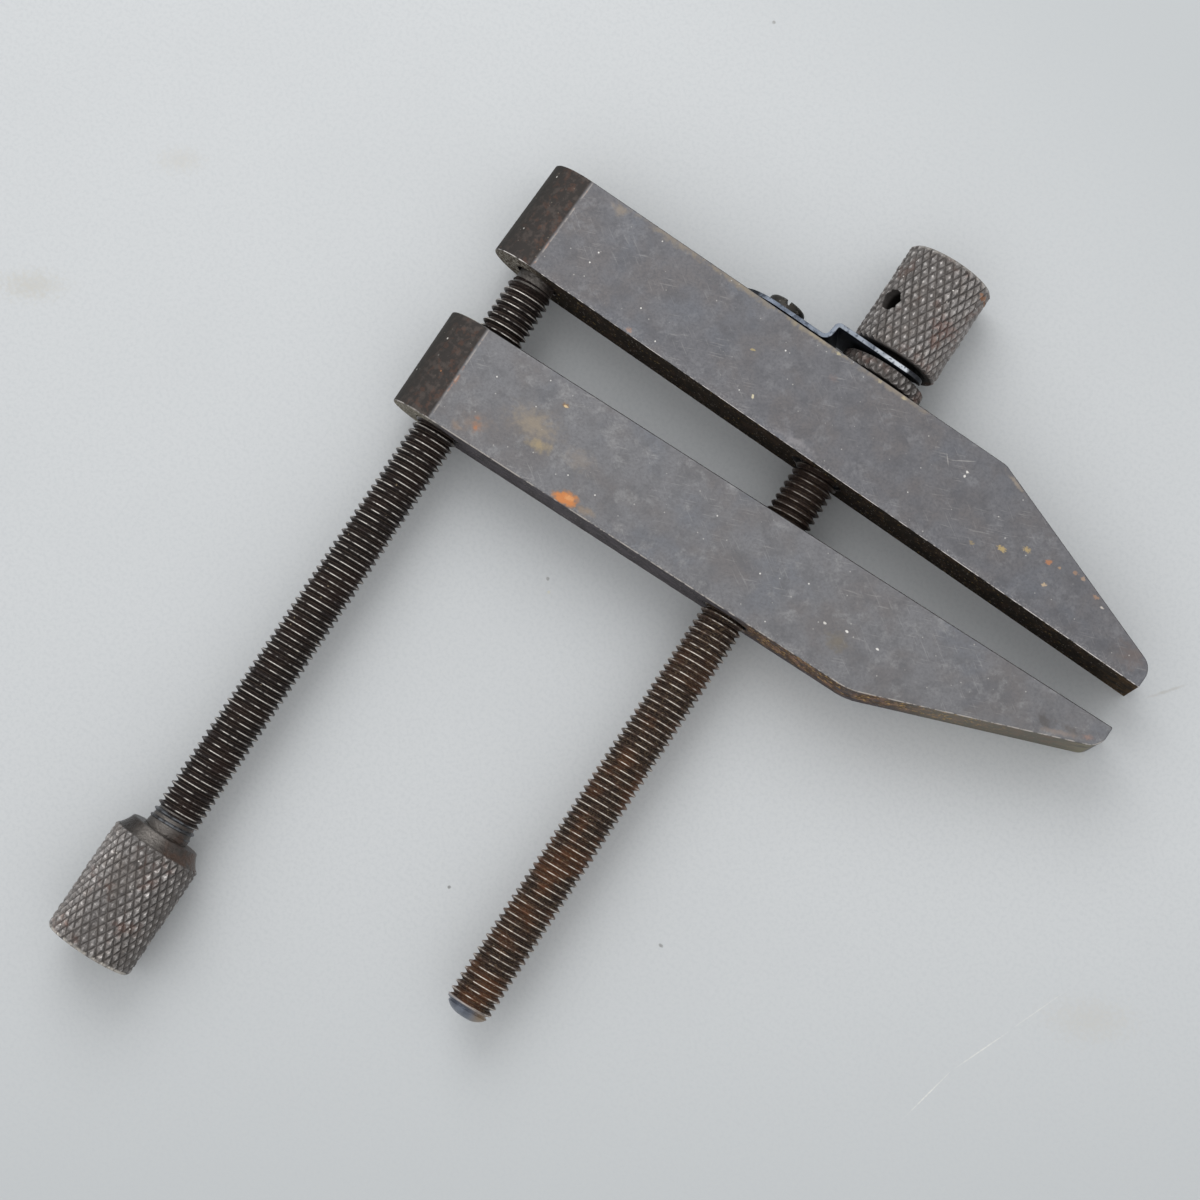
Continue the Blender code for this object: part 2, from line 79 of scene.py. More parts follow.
# What dirt, oxide or rust makes of a metal's shine
COVERED = (("Metallic", 0.0), ("Roughness", 0.92), ("Specular IOR Level", 0.08))

SCRATCH_STRETCH = (14.0, 1.0, 1.0)
SCRATCH_LEVELS = (0.64, 0.74)
MARK_EDGE = 1600.0
FINE_MARK_EDGE = 4500.0
FINE_MARK = 0.0010

# How the jaws stand to each other, as in the CAD
JAW_GAP = 0.00788
JAW_TILT = 2.23
SCREW_SPACING = 0.0447


class Body(Enum):
    """Bodies of the CAD that pieces ride on, each named as its first node"""

    PLAIN_JAW = "plain_jaw"
    THREADED_JAW = "threaded_jaw"
    CENTRE_SCREW = "centre_screw"
    REAR_SCREW = "rear_screw"


class Slot(Enum):
    """Material slots of the record"""

    JAW = "jaw_steel"
    SCREW = "screw_steel"
    SPRING = "spring_steel"
    SMALL_SCREW = "small_screw_steel"


class Pick(Enum):
    """What a selection is made of"""

    POINTS = "VERT"
    EDGES = "EDGE"
    FACES = "FACE"


class Join(Enum):
    """How a tool works on a piece"""

    CUT = "DIFFERENCE"
    ADD = "UNION"
    KEEP = "INTERSECT"


# Modelling


def activate(obj: Piece) -> None:
    """Select one object alone and make it the active one.

    Args:
        obj: The object.
    """
    bpy.ops.object.select_all(action="DESELECT")
    obj.select_set(True)
    bpy.context.view_layer.objects.active = obj


@contextmanager
def editing(obj: Piece) -> Iterator[None]:
    """Edit mode on one object, with all of it selected.

    Args:
        obj: The mesh to shape.
    """
    activate(obj)
    bpy.ops.object.mode_set(mode="EDIT")
    bpy.ops.mesh.select_all(action="SELECT")
    try:
        yield
    finally:
        bpy.ops.object.mode_set(mode="OBJECT")


def pick(obj: Piece, kind: Pick, test: Callable[[Any], bool]) -> int:
    """Select what passes a test and nothing else, in edit mode.

    Args:
        obj: The mesh in edit mode.
        kind: Points, edges or faces.
        test: Says whether an item is selected.

    Returns:
        How many were selected.
    """
    bpy.ops.mesh.select_mode(type=kind.value)
    bpy.ops.mesh.select_all(action="DESELECT")
    shape = bmesh.from_edit_mesh(obj.data)
    items = {Pick.POINTS: shape.verts, Pick.EDGES: shape.edges, Pick.FACES: shape.faces}[kind]
    chosen = [item for item in items if test(item)]
    for item in chosen:
        item.select_set(True)
    bmesh.update_edit_mesh(obj.data)
    return len(chosen)


def span(edge: Any) -> Place:
    """How far an edge reaches along X, Y and Z."""
    start, end = (point.co for point in edge.verts)
    return tuple(abs(a - b) for a, b in zip(start, end))


def round_edges(obj: Piece, test: Callable[[Any], bool], offset: float, segments: int) -> None:
    """Round the edges that pass a test, in edit mode, from an offset and with so many facets."""
    pick(obj, Pick.EDGES, test)
    bpy.ops.mesh.bevel(offset=offset, segments=segments, affect="EDGES")


def trim(place: Place, outwards: Place) -> None:
    """Cut a mesh in edit mode by a plane, drop what lies outwards and close the cut.

    Args:
        place: A point of the plane.
        outwards: The side that is dropped.
    """
    bpy.ops.mesh.select_all(action="SELECT")
    bpy.ops.mesh.bisect(
        plane_co=place, plane_no=outwards, use_fill=True, clear_outer=True, threshold=MERGE_DISTANCE
    )


def close_up(obj: Piece) -> None:
    """Merge a mesh's doubles and turn its faces outwards.

    Args:
        obj: The mesh.
    """
    with editing(obj):
        bpy.ops.mesh.remove_doubles(threshold=MERGE_DISTANCE)
        bpy.ops.mesh.normals_make_consistent(inside=False)


def work(obj: Piece, kind: str, **settings: Any) -> None:
    """Add a modifier with its settings and apply it.

    Args:
        obj: The piece.
        kind: Blender's name for the modifier.
        **settings: The modifier's own settings.
    """
    step = obj.modifiers.new(kind.lower(), kind)
    for name, value in settings.items():
        setattr(step, name, value)
    activate(obj)
    bpy.ops.object.modifier_apply(modifier=step.name)


def combine(obj: Piece, tool: Piece, join: Join) -> None:
    """Cut, join or keep a piece with a closed tool, which is then thrown away."""
    work(obj, "BOOLEAN", operation=join.value, solver="EXACT", object=tool)
    bpy.data.objects.remove(tool, do_unlink=True)


def settle(obj: Piece, place: Sequence[float], turn: Sequence[float] = (0.0, 0.0, 0.0)) -> None:
    """Turn and move a piece, and keep its place in its mesh.

    Args:
        obj: The piece.
        place: Where its own origin goes.
        turn: Degrees about X, Y and Z.
    """
    activate(obj)
    obj.rotation_euler = [math.radians(angle) for angle in turn]
    obj.location = place
    bpy.ops.object.transform_apply(location=True, rotation=True, scale=True)


def soften(obj: Piece, angle: float = SMOOTH_ANGLE) -> None:
    """Shade a piece smooth up to an angle between faces."""
    activate(obj)
    bpy.ops.object.shade_smooth_by_angle(angle=math.radians(angle))


def break_edges(obj: Piece, width: float, segments: int, angle: float) -> None:
    """Shade a piece smooth and take the sharpness off its edges.

    Args:
        obj: The piece.
        width: Width of the broken edge.
        segments: Its facets.
        angle: Least angle between faces that meet in an edge.
    """
    soften(obj)
    limit = math.radians(angle)
    work(
        obj, "BEVEL", width=width, segments=segments, limit_method="ANGLE", angle_limit=limit, harden_normals=True
    )


def fresh(name: str) -> Piece:
    """Name the shape just added and keep its place in its mesh.

    Args:
        name: The object's name.

    Returns:
        The shape.
    """
    obj = bpy.context.object
    obj.name = name
    bpy.ops.object.transform_apply(location=True, rotation=True, scale=True)
    return obj


def block(name: str, low: Place, high: Place) -> Piece:
    """A box between two corners, a start for shaping or cutting.

    Args:
        name: The object's name.
        low: Lowest corner.
        high: Highest corner.

    Returns:
        The box, with its place in its mesh.
    """
    middle = [(a + b) / 2 for a, b in zip(low, high)]
    size = [b - a for a, b in zip(low, high)]
    bpy.ops.mesh.primitive_cube_add(size=1.0, location=middle, scale=size)
    return fresh(name)


def bar(name: str, radius: float, start: float, end: float) -> Piece:
    """A round bar along Z from start to end, used to drill.

    Args:
        name: The object's name.
        radius: Its radius.
        start: Lower end.
        end: Upper end.

    Returns:
        The bar.
    """
    middle = (0.0, 0.0, (start + end) / 2)
    bpy.ops.mesh.primitive_cylinder_add(vertices=HOLE_SIDES, radius=radius, depth=end - start, location=middle)
    return fresh(name)


def trace(name: str, points: Sequence[Place]) -> Piece:
    """A line drawn from point to point.

    Args:
        name: The object's name.
        points: The points in order.

    Returns:
        A mesh of edges.
    """
    bpy.ops.mesh.primitive_plane_add(size=1.0)
    obj = fresh(name)
    with editing(obj):
        bpy.ops.mesh.select_mode(type="VERT")
        bpy.ops.mesh.merge(type="CENTER")
        bpy.ops.transform.translate(value=points[0])
        for before, after in zip(points[:-1], points[1:]):
            step = [b - a for a, b in zip(before, after)]
            bpy.ops.mesh.extrude_vertices_move(TRANSFORM_OT_translate={"value": step})
    return obj


def lathe(name: str, profile: Profile) -> Piece:
    """A closed solid turned about Z.

    Args:
        name: The object's name.
        profile: (radius, height) points, the first and last on the axis.

    Returns:
        The solid.
    """
    obj = trace(name, [(radius, 0.0, height) for radius, height in profile])
    with editing(obj):
        bpy.ops.mesh.spin(steps=TURN_STEPS, angle=math.tau, center=(0.0, 0.0, 0.0), axis=(0.0, 0.0, 1.0))
    close_up(obj)
    return obj


def drill(obj: Piece, radius: float, x: float, start: float, end: float) -> None:
    """Drill a jaw or clip along its own Y axis.

    Args:
        obj: The piece, in its own frame.
        radius: The hole's radius.
        x: Where the hole is along the jaw.
        start: Where the drill starts.
        end: Where it ends.
    """
    tool = bar("drill", radius, start, end)
    settle(tool, (x, 0.0, 0.0), LYING)
    combine(obj, tool, Join.CUT)


def rounded(radius: float, end: float, wide: float, tall: float, steps: int = 6) -> Profile:
    """Profile of a rim rounded from its end face, over a width and a height, to its full radius."""
    angles = [math.radians(90.0) * step / steps for step in range(steps + 1)]
    return [(radius - wide * (1.0 - math.sin(a)), end + tall * (1.0 - math.cos(a))) for a in angles]


@dataclass(frozen=True)
class Stand:
    """Where a jaw stands: the middle of its centre screw's hole on its clamping face, and its tilt"""

    place: Place
    tilt: float = 0.0

    def carry(self, obj: Piece) -> None:
        """Put a piece that is modelled in the jaw's own frame in its place."""
        settle(obj, self.place, (0.0, 0.0, -self.tilt))


@dataclass(frozen=True)
class Layout:
    """Where the screws and the jaws stand, read from the CAD's boxes"""

    face_y: float
    mid_z: float
    centre_x: float
    rear_x: float

    @classmethod
    def of_frame(cls) -> "Layout":
        """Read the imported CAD.

        Returns:
            Its layout.
        """
        jaw_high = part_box("threaded_jaw")[1]
        centre, rear = (
            sum(corner[0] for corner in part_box(body.value)) / 2 for body in (Body.CENTRE_SCREW, Body.REAR_SCREW)
        )
        return cls(jaw_high[1], jaw_high[2] / 2, centre, rear)

    def at(self, x: float, gap: float = 0.0) -> Place:
        """The place at half the jaws' thickness, a gap beyond the threaded jaw's face."""
        return (x, self.face_y + gap, self.mid_z)

    def ends(self, body: Body) -> tuple[float, float]:
        """Lower and upper end of a screw, counted from the threaded jaw's face."""
        low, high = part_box(body.value)
        return low[1] - self.face_y, high[1] - self.face_y


# Finishes


def linear(colour: str) -> tuple[float, float, float, float]:
    """Turn an sRGB hex colour to linear values.

    Args:
        colour: Such as "#8a8b8d".

    Returns:
        Red, green, blue and an alpha of 1.
    """
    parts = [int(colour[i : i + 2], 16) / 255 for i in (1, 3, 5)]
    red, green, blue = [c / 12.92 if c <= 0.04045 else ((c + 0.055) / 1.055) ** 2.4 for c in parts]
    return red, green, blue, 1.0


def add(near: Any, kind: str, inputs: dict[Any, Any] | None = None, **settings: Any) -> Any:
    """Add a shader node with its settings, values and links.

    Args:
        near: The node tree, or any socket in it.
        kind: Blender's name for the node, without its first word.
        inputs: Values, or sockets to link, by input name or number.
        **settings: The node's own settings.

    Returns:
        The node's outputs.
    """
    tree = near.id_data
    node = tree.nodes.new("ShaderNode" + kind)
    for name, value in settings.items():
        setattr(node, name, value)
    for key, value in (inputs or {}).items():
        if isinstance(value, Socket):
            tree.links.new(value, node.inputs[key])
        else:
            node.inputs[key].default_value = value
    return node.outputs


def product(*factors: Any) -> Socket:
    """Masks multiplied together.

    Args:
        *factors: A socket, and then sockets or numbers.

    Returns:
        Their product.
    """
    result = factors[0]
    for factor in factors[1:]:
        result = add(result, "Math", {0: result, 1: factor}, operation="MULTIPLY")[0]
    return result


def beside(mask: Socket) -> Socket:
    """Everywhere that a mask isn't."""
    return add(mask, "Math", {0: 1.0, 1: mask}, operation="SUBTRACT")[0]


def fade(value: Socket, start: float, end: float, strength: float = 1.0) -> Socket:
    """A mask that goes smoothly from nothing at start to strength at end."""
    ranges = {"Value": value, "From Min": start, "From Max": end, "To Min": 0.0, "To Max": strength}
    return add(value, "MapRange", ranges, interpolation_type="SMOOTHSTEP")[0]


def patches(
    place: Socket,
    size: float,
    share: tuple[float, float],
    strength: float,
    seed: float = 0.0,
    detail: float = 3.0,
    stretch: Place = (1.0, 1.0, 1.0),
) -> Socket:
    """Cloudy patches of a real size.

    Args:
        place: Object coordinates.
        size: Size of a patch in metres.
        share: Noise levels where a patch begins and is full.
        strength: How strong a patch is.
        seed: Moves the pattern.
        detail: How many finer layers the patches have.
        stretch: Closer together by this much along X, Y and Z.

    Returns:
        The mask.
    """
    moved = add(place, "Mapping", {"Vector": place, "Location": (seed, -seed, 2 * seed), "Scale": stretch})[0]
    cloud = {"Vector": moved, "Scale": 1.0 / size, "Detail": detail, "Roughness": 0.6}
    return fade(add(place, "TexNoise", cloud)[0], *share, strength)


def rough_edge(place: Socket, scale: float) -> Socket:
    """Noise that makes a mark's edge ragged."""
    return add(place, "TexNoise", {"Vector": place, "Scale": scale, "Detail": 3.0})[0]


def within(place: Socket, origin: Place, turn: float, unit: Place = (1.0, 1.0, 1.0)) -> Socket:
    """Measure from an origin of one's own, turned by degrees about Z, with its own unit on each axis."""
    settings = {"Vector": place, "Location": origin, "Rotation": (0.0, 0.0, math.radians(turn)), "Scale": unit}
    return add(place, "Mapping", settings, vector_type="TEXTURE")[0]


def scratches(place: Socket, turn: float, spacing: float, strength: float) -> Socket:
    """Fine short scratches that all run one way.

    Args:
        place: Object coordinates.
        turn: Degrees from X to the way they run.
        spacing: About how far one is from the next, in metres.
        strength: How strong a scratch is.

    Returns:
        The mask.
    """
    drawn_out = within(place, (0.0, 0.0, 0.0), turn, SCRATCH_STRETCH)
    noise = add(place, "TexNoise", {"Vector": drawn_out, "Scale": 1.0 / spacing, "Detail": 1.0})[0]
    return fade(noise, *SCRATCH_LEVELS, strength)


def specks(place: Socket, spacing: float, radius: float, kept: float, strength: float) -> Socket:
    """Scattered specks, one in some of the cells of a loose grid.

    Args:
        place: Object coordinates.
        spacing: Distance between cells in metres.
        radius: Radius of the largest specks in metres.
        kept: Share of the cells that have a speck.
        strength: How strong a speck is.

    Returns:
        The mask.
    """
    cells = add(place, "TexVoronoi", {"Vector": place, "Scale": 1.0 / spacing, "Randomness": 1.0})
    level = add(place, "SeparateColor", {0: cells["Color"]})[0]
    reach = radius / spacing
    return product(fade(cells["Distance"], reach, 0.4 * reach, strength), fade(level, kept, 0.7 * kept))


def coat(ground: str, layers: Layers) -> Socket:
    """Lay colours over a ground, each through its own mask.

    Args:
        ground: Hex colour underneath.
        layers: (mask, hex colour) from the lowest up.

    Returns:
        The finished colour.
    """
    colour = linear(ground)
    for mask, tint in layers:
        colour = add(mask, "Mix", {0: mask, 6: colour, 7: linear(tint)}, data_type="RGBA")[2]
    return colour


def through(zone: Socket, *rows: tuple[Any, ...]) -> Layers:
    """Layers seen in one zone only, from rows of a hex colour and more masks or strengths."""
    return [(product(zone, *masks), tint) for tint, *masks in rows]


def round_axis(place: Socket, axis: Place) -> tuple[Socket, Socket, Socket]:
    """Measure from a screw's axis, which runs along Y.

    Args:
        place: Object coordinates.
        axis: A point of the axis.

    Returns:
        Distance from the axis, height along it and how far to the side a place is.
    """
    centred = add(place, "Mapping", {"Vector": place, "Location": (-axis[0], 0.0, -axis[2])})[0]
    flat = add(place, "VectorMath", {0: centred, 1: (1.0, 0.0, 1.0)}, operation="MULTIPLY")[0]
    far = add(place, "VectorMath", {0: flat}, operation="LENGTH")["Value"]
    parts = add(place, "SeparateXYZ", {0: centred})
    return far, parts[1], parts[0]


def begin(name: str, metallic: float, roughness: float) -> tuple[Material, Socket, Socket]:
    """Start a finish.

    Args:
        name: The material's name.
        metallic: How metallic it is where it is clean.
        roughness: How rough it is where it is clean.

    Returns:
        The material, object coordinates and the way the surface faces.
    """
    material = bpy.data.materials.new(name)
    material.use_nodes = True
    shader = material.node_tree.nodes["Principled BSDF"]
    shader.inputs["Metallic"].default_value = metallic
    shader.inputs["Roughness"].default_value = roughness
    coordinates = add(material.node_tree, "TexCoord")
    return material, coordinates["Object"], coordinates["Normal"]


def wire(material: Material, colour: Socket, height: Socket, depth: float, dull: Socket | None = None) -> Material:
    """Link a finish's colour, relief and dull places to its shader.

    Args:
        material: The material, with the shine of the clean metal.
        colour: Colour socket.
        height: Relief from 0 to 1.
        depth: How deep the relief is, in metres.
        dull: Where dirt, oxide or rust covers the metal.

    Returns:
        The material.
    """
    tree = material.node_tree
    sockets = tree.nodes["Principled BSDF"].inputs
    tree.links.new(colour, sockets["Base Color"])
    bump = add(tree, "Bump", {"Height": height, "Distance": depth, "Strength": 1.0})[0]
    tree.links.new(bump, sockets["Normal"])
    for name, covered in () if dull is None else COVERED:
        ranges = {"Value": dull, "To Min": sockets[name].default_value, "To Max": covered}
        tree.links.new(add(tree, "MapRange", ranges)[0], sockets[name])
    return material


@dataclass(frozen=True)
class Mark:
    """A stain, rust spot or rubbed place, with a ragged edge"""

    x: float
    y: float
    reach_x: float
    reach_y: float
    colour: str
    strength: float
    ragged: float = 0.5
    turn: float = 0.0
    soft: float = 0.55

    def mask(self, place: Socket, edge: Socket) -> Socket:
        """Where the mark is.

        Args:
            place: Object coordinates.
            edge: Noise that makes the edge ragged.

        Returns:
            The mask.
        """
        moved = within(place, (self.x, self.y, 0.0), self.turn, (self.reach_x, self.reach_y, 1.0))
        parts = add(place, "SeparateXYZ", {0: moved})
        flat = add(place, "CombineXYZ", {0: parts[0], 1: parts[1]})[0]
        far = add(place, "VectorMath", {0: flat}, operation="LENGTH")["Value"]
        shifted = add(place, "Math", {0: edge, 1: 2 * self.ragged, 2: far}, operation="MULTIPLY_ADD")[0]
        return fade(shifted, 1.0 + self.ragged, 1.0 - self.soft + self.ragged, self.strength)


def marks(*rows: tuple[Any, ...]) -> tuple[Mark, ...]:
    """Marks from rows: place and reach in millimetres, colour, strength, raggedness, turn, softness."""
    return tuple(Mark(*(value * MM for value in row[:4]), *row[4:]) for row in rows)


@dataclass(frozen=True)
class JawZones:
    """Masks of a jaw's surface: object coordinates and where each kind of place is"""

    place: Socket
    rise: Socket
    top: Socket
    side: Socket
    heel: Socket
    heel_line: Socket
    low_rim: Socket
    painted_shade_rim: Socket
    worn_band: Socket
    upper: Socket
    rusty: Socket
    sloped: Socket
    near_tip: Socket
    near_heel: Socket


@dataclass(frozen=True)
class BlackedBar:
    """Ground tool steel bar, chemically blacked and rubbed back to a satin grey by use.

    The flat faces are a cloudy mid grey with a fine grain and hairline scratches. The lower
    edges are rubbed bright, the side faces that hands don't reach keep their dark oxide, and
    rust gathers along them.
    """

    name: str
    stand: Stand
    marks: tuple[Mark, ...]
    ground: str
    dark: str
    pale: str
    side_dark: str
    side_pale: str
    worn_edge: float
    rust_start: float
    rust_end: float
    rust_low: float
    rust: tuple[str, str, str]
    crumbs: tuple[float, float]
    slope_start: float
    slope_tint: str
    tip_tint: str
    heel_tint: str
    worn_rim: str
    grit: str
    heel_start: float = -0.04525

    def zones(self, place: Socket, normal: Socket) -> JawZones:
        """Find the kinds of places on the jaw.

        Args:
            place: Object coordinates.
            normal: The way the surface faces.

        Returns:
            The masks.
        """
        facing = add(place, "SeparateXYZ", {0: normal})
        x, y, z = add(place, "SeparateXYZ", {0: within(place, self.stand.place, -self.stand.tilt)})
        up, flank = (add(place, "Math", {0: facing[i]}, operation="ABSOLUTE")[0] for i in (2, 1))
        start = self.heel_start
        bar = fade(x, start - 0.0001, start + 0.0003)
        top = fade(facing[2], 0.80, 0.95)
        low = product(fade(up, 0.25, 0.55), fade(up, 0.985, 0.93))
        return JawZones(
            place=place,
            rise=facing[2],
            top=top,
            side=fade(flank, 0.6, 0.85),
            heel=product(fade(x, start + 0.0001, start - 0.0003), fade(flank, 0.75, 0.35)),
            heel_line=product(bar, fade(x, start + 0.00030, start + 0.00012), top),
            low_rim=product(low, fade(facing[1], -0.1, -0.3)),
            # Painted shade: the edges and faces that turn towards +Y
            painted_shade_rim=product(fade(up, 0.92, 0.80), fade(facing[1], 0.1, 0.3), bar),
            worn_band=product(fade(y, self.worn_edge + 0.0013, self.worn_edge + 0.0002), bar, top),
            upper=fade(z, self.rust_low, self.rust_low + 0.0050),
            rusty=product(
                fade(x, self.rust_start - 0.003, self.rust_start + 0.003),
                fade(x, self.rust_end + 0.005, self.rust_end - 0.005),
            ),
            sloped=fade(x, self.slope_start, self.slope_start + 0.011),
            near_tip=fade(x, 0.0425, 0.0475),
            near_heel=fade(x, start + 0.0025, start - 0.0020),
        )

    def face_layers(self, zones: JawZones) -> Layers:
        """Colours of the ground faces: clouds, grain, scratches, stains and dust.

        Args:
            zones: The jaw's masks.

        Returns:
            The layers from the lowest up.
        """
        place = zones.place
        edge, fine_edge = (rough_edge(place, scale) for scale in (MARK_EDGE, FINE_MARK_EDGE))
        scratched = patches(place, 0.0070, (0.46, 0.60), 1.0, seed=0.91)
        stained = [
            (product(mark.mask(place, fine_edge if mark.reach_x < FINE_MARK else edge), zones.top), mark.colour)
            for mark in self.marks
        ]
        return [
            (patches(place, 0.0075, (0.42, 0.64), 0.60, seed=0.11), "#676261"),
            (patches(place, 0.0100, (0.50, 0.68), 0.45, seed=0.21), "#646972"),
            (patches(place, 0.0030, (0.46, 0.70), 0.55, seed=0.31, detail=5.0), self.dark),
            (patches(place, 0.0021, (0.52, 0.70), 0.60, seed=0.41, detail=6.0), self.pale),
            (patches(place, 0.00035, (0.38, 0.72), 0.55, detail=5.0), self.dark),
            (product(scratches(place, 20.0, 0.00018, 0.24), scratched), "#aaa8a6"),
            (product(scratches(place, -35.0, 0.00020, 0.20), scratched), "#a5a4a3"),
            *through(zones.worn_band, ("#a09d9e", patches(place, 0.0003, (0.48, 0.66), 0.32, seed=0.37, detail=5.0))),
            *stained,
            (specks(place, 0.0012, 0.00013, 0.55, 0.65), "#b4b2ae"),
            (specks(place, 0.0021, 0.00015, 0.50, 0.9), "#dfddd8"),
        ]

    def dark_layers(self, zones: JawZones) -> Layers:
        """Colours of the heel's round and of the side faces, with the edges between.

        Args:
            zones: The jaw's masks.

        Returns:
            The layers from the lowest up.
        """
        place, rise = zones.place, zones.rise
        reddish = product(patches(place, 0.0010, (0.52, 0.64), 0.35, seed=0.45), fade(rise, 0.6, 0.95))
        fine = patches(place, 0.0004, (0.46, 0.62), 0.7, seed=0.52)
        crumbs = patches(place, 0.0005, self.crumbs, 0.9, seed=0.73, detail=4.0, stretch=(1.0, 1.0, 0.5))
        pinkish = patches(place, 0.0013, (0.46, 0.60), 0.8, seed=0.79, stretch=(1.0, 1.0, 0.4))
        clumps = patches(place, 0.0026, (0.36, 0.56), 1.0, seed=0.67)
        ragged = patches(place, 0.0011, (0.40, 0.56), 1.0, seed=0.83)
        rusty = (zones.rusty, zones.upper, clumps)
        return [
            *through(
                zones.heel,
                ("#3a3634",),
                ("#5f5651", patches(place, 0.0009, (0.46, 0.66), 0.45, seed=0.4)),
                ("#2c2a27", fade(rise, 0.97, 0.50, 0.8)),
                ("#65483b", reddish),
                ("#a9744d", specks(place, 0.0017, 0.00016, 0.2, 0.8)),
                ("#d5d2cb", specks(place, 0.0016, 0.00019, 0.35, 0.9)),
            ),
            *through(
                zones.heel_line,
                ("#a39c96", ragged, 0.9),
                ("#b07a58", patches(place, 0.0012, (0.56, 0.64), 0.6, seed=0.57)),
            ),
            *through(zones.heel, ("#8d8578", specks(place, 0.0008, 0.00011, 0.3, 0.6))),
            *through(
                zones.side,
                (self.side_dark,),
                (self.side_pale, patches(place, 0.0024, (0.42, 0.66), 0.8, seed=0.62)),
                (self.side_pale, fine),
                (self.rust[0], *rusty),
                (self.rust[1], *rusty, pinkish),
                (self.slope_tint, zones.sloped, 0.85),
                ("#8f7669", zones.sloped, zones.upper, pinkish, 0.35),
                (self.rust[2], *rusty, crumbs),
                (self.grit, specks(place, 0.0007, 0.00016, 0.8, 0.85)),
                (self.tip_tint, zones.near_tip, clumps, 0.8),
                (self.heel_tint, zones.near_heel, 0.75),
                ("#b1ada2", zones.near_heel, fine),
            ),
            # Painted shade: a dark line along the edges on the +Y side
            *through(zones.painted_shade_rim, ("#1d1b1a", 0.9)),
            *through(zones.low_rim, (self.worn_rim, ragged, 0.95)),
        ]

    def make(self) -> Material:
        """Lay the finish's colours over each other.

        Returns:
            The jaw's material.
        """
        material, place, normal = begin(self.name, metallic=0.35, roughness=0.5)
        zones = self.zones(place, normal)
        colour = coat(self.ground, self.face_layers(zones) + self.dark_layers(zones))
        relief = patches(place, 0.0006, (0.35, 0.70), 1.0, seed=0.3, detail=5.0)
        either = add(place, "Math", {0: zones.side, 1: product(zones.heel, 0.6)}, operation="MAXIMUM")[0]
        return wire(material, colour, relief, 0.000014, product(either, beside(zones.low_rim)))


@dataclass(frozen=True)
class BlackedThread:
    """Cut screw thread in blacked steel: black-brown with rust in the roots, rubbed bright
    along the crests, with painted highlights as thin glints along the crests and the roots,
    and painted shade where it runs between the jaws. Heights count from the place."""

    name: str
    place: Place
    root: str
    flank: str
    rust: str
    rust_strength: float
    rust_from: float
    crest: str
    dust: str
    polished: str
    polished_pale: str
    polished_end: float
    polished_rim: float
    tail_strength: float

    def make(self) -> Material:
        """Lay the finish's colours over each other.

        Returns:
            The thread's material.
        """
        material, place, _ = begin(self.name, metallic=0.6, roughness=0.34)
        radius, height, sideways = round_axis(place, self.place)
        rust_from, end, rim = (self.place[1] + y for y in (self.rust_from, self.polished_end, self.polished_rim))
        low = fade(radius, 0.00305, 0.00262)
        rusty = product(
            patches(place, 0.0048, (0.44, 0.64), self.rust_strength, seed=0.24),
            fade(height, rust_from, rust_from - 0.020),
        )
        crumbs = patches(place, 0.0006, (0.42, 0.66), 0.8, seed=0.34, detail=4.0)
        layers = [
            (crumbs, self.root),
            (rusty, self.rust),
            *through(low, (self.root,), (self.rust, rusty, 0.7)),
            (patches(place, 0.00030, (0.52, 0.64), 0.6, seed=0.54, detail=4.0), self.dust),
            # Painted highlight: a faint glint line along the roots
            (fade(radius, 0.00262, 0.00256, 0.5), "#6f6259"),
            (specks(place, 0.0014, 0.00016, 0.35, 0.85), "#c9b79a"),
            # Rubbed crests, with a painted highlight: the thin bright glint lines along them
            *through(
                fade(radius, 0.00312, 0.003168),
                (self.crest, patches(place, 0.0016, (0.40, 0.58), 0.9, seed=0.14)),
            ),
            # Painted shade: the thread darkened towards the root colour from rust_from on, where it runs between and
            # into the jaws, dimming the glints too
            (fade(height, rust_from - 0.004, rust_from + 0.006, 0.65), self.root),
            *through(
                fade(height, end + 0.0001, end - 0.0001),
                (self.polished,),
                (self.polished_pale, patches(place, 0.0011, (0.42, 0.62), 0.6, seed=0.44)),
                ("#9b8468", fade(sideways, 0.0006, 0.0024), 0.8, self.tail_strength),
                ("#cfc4bb", fade(height, rim, end), 0.8, self.tail_strength),
            ),
        ]
        unpolished = fade(height, end - 0.0001, end + 0.0001, 0.85)
        dull = product(low, fade(radius, 0.00256, 0.00264), unpolished)
        return wire(material, coat(self.flank, layers), crumbs, 0.00003, dull)


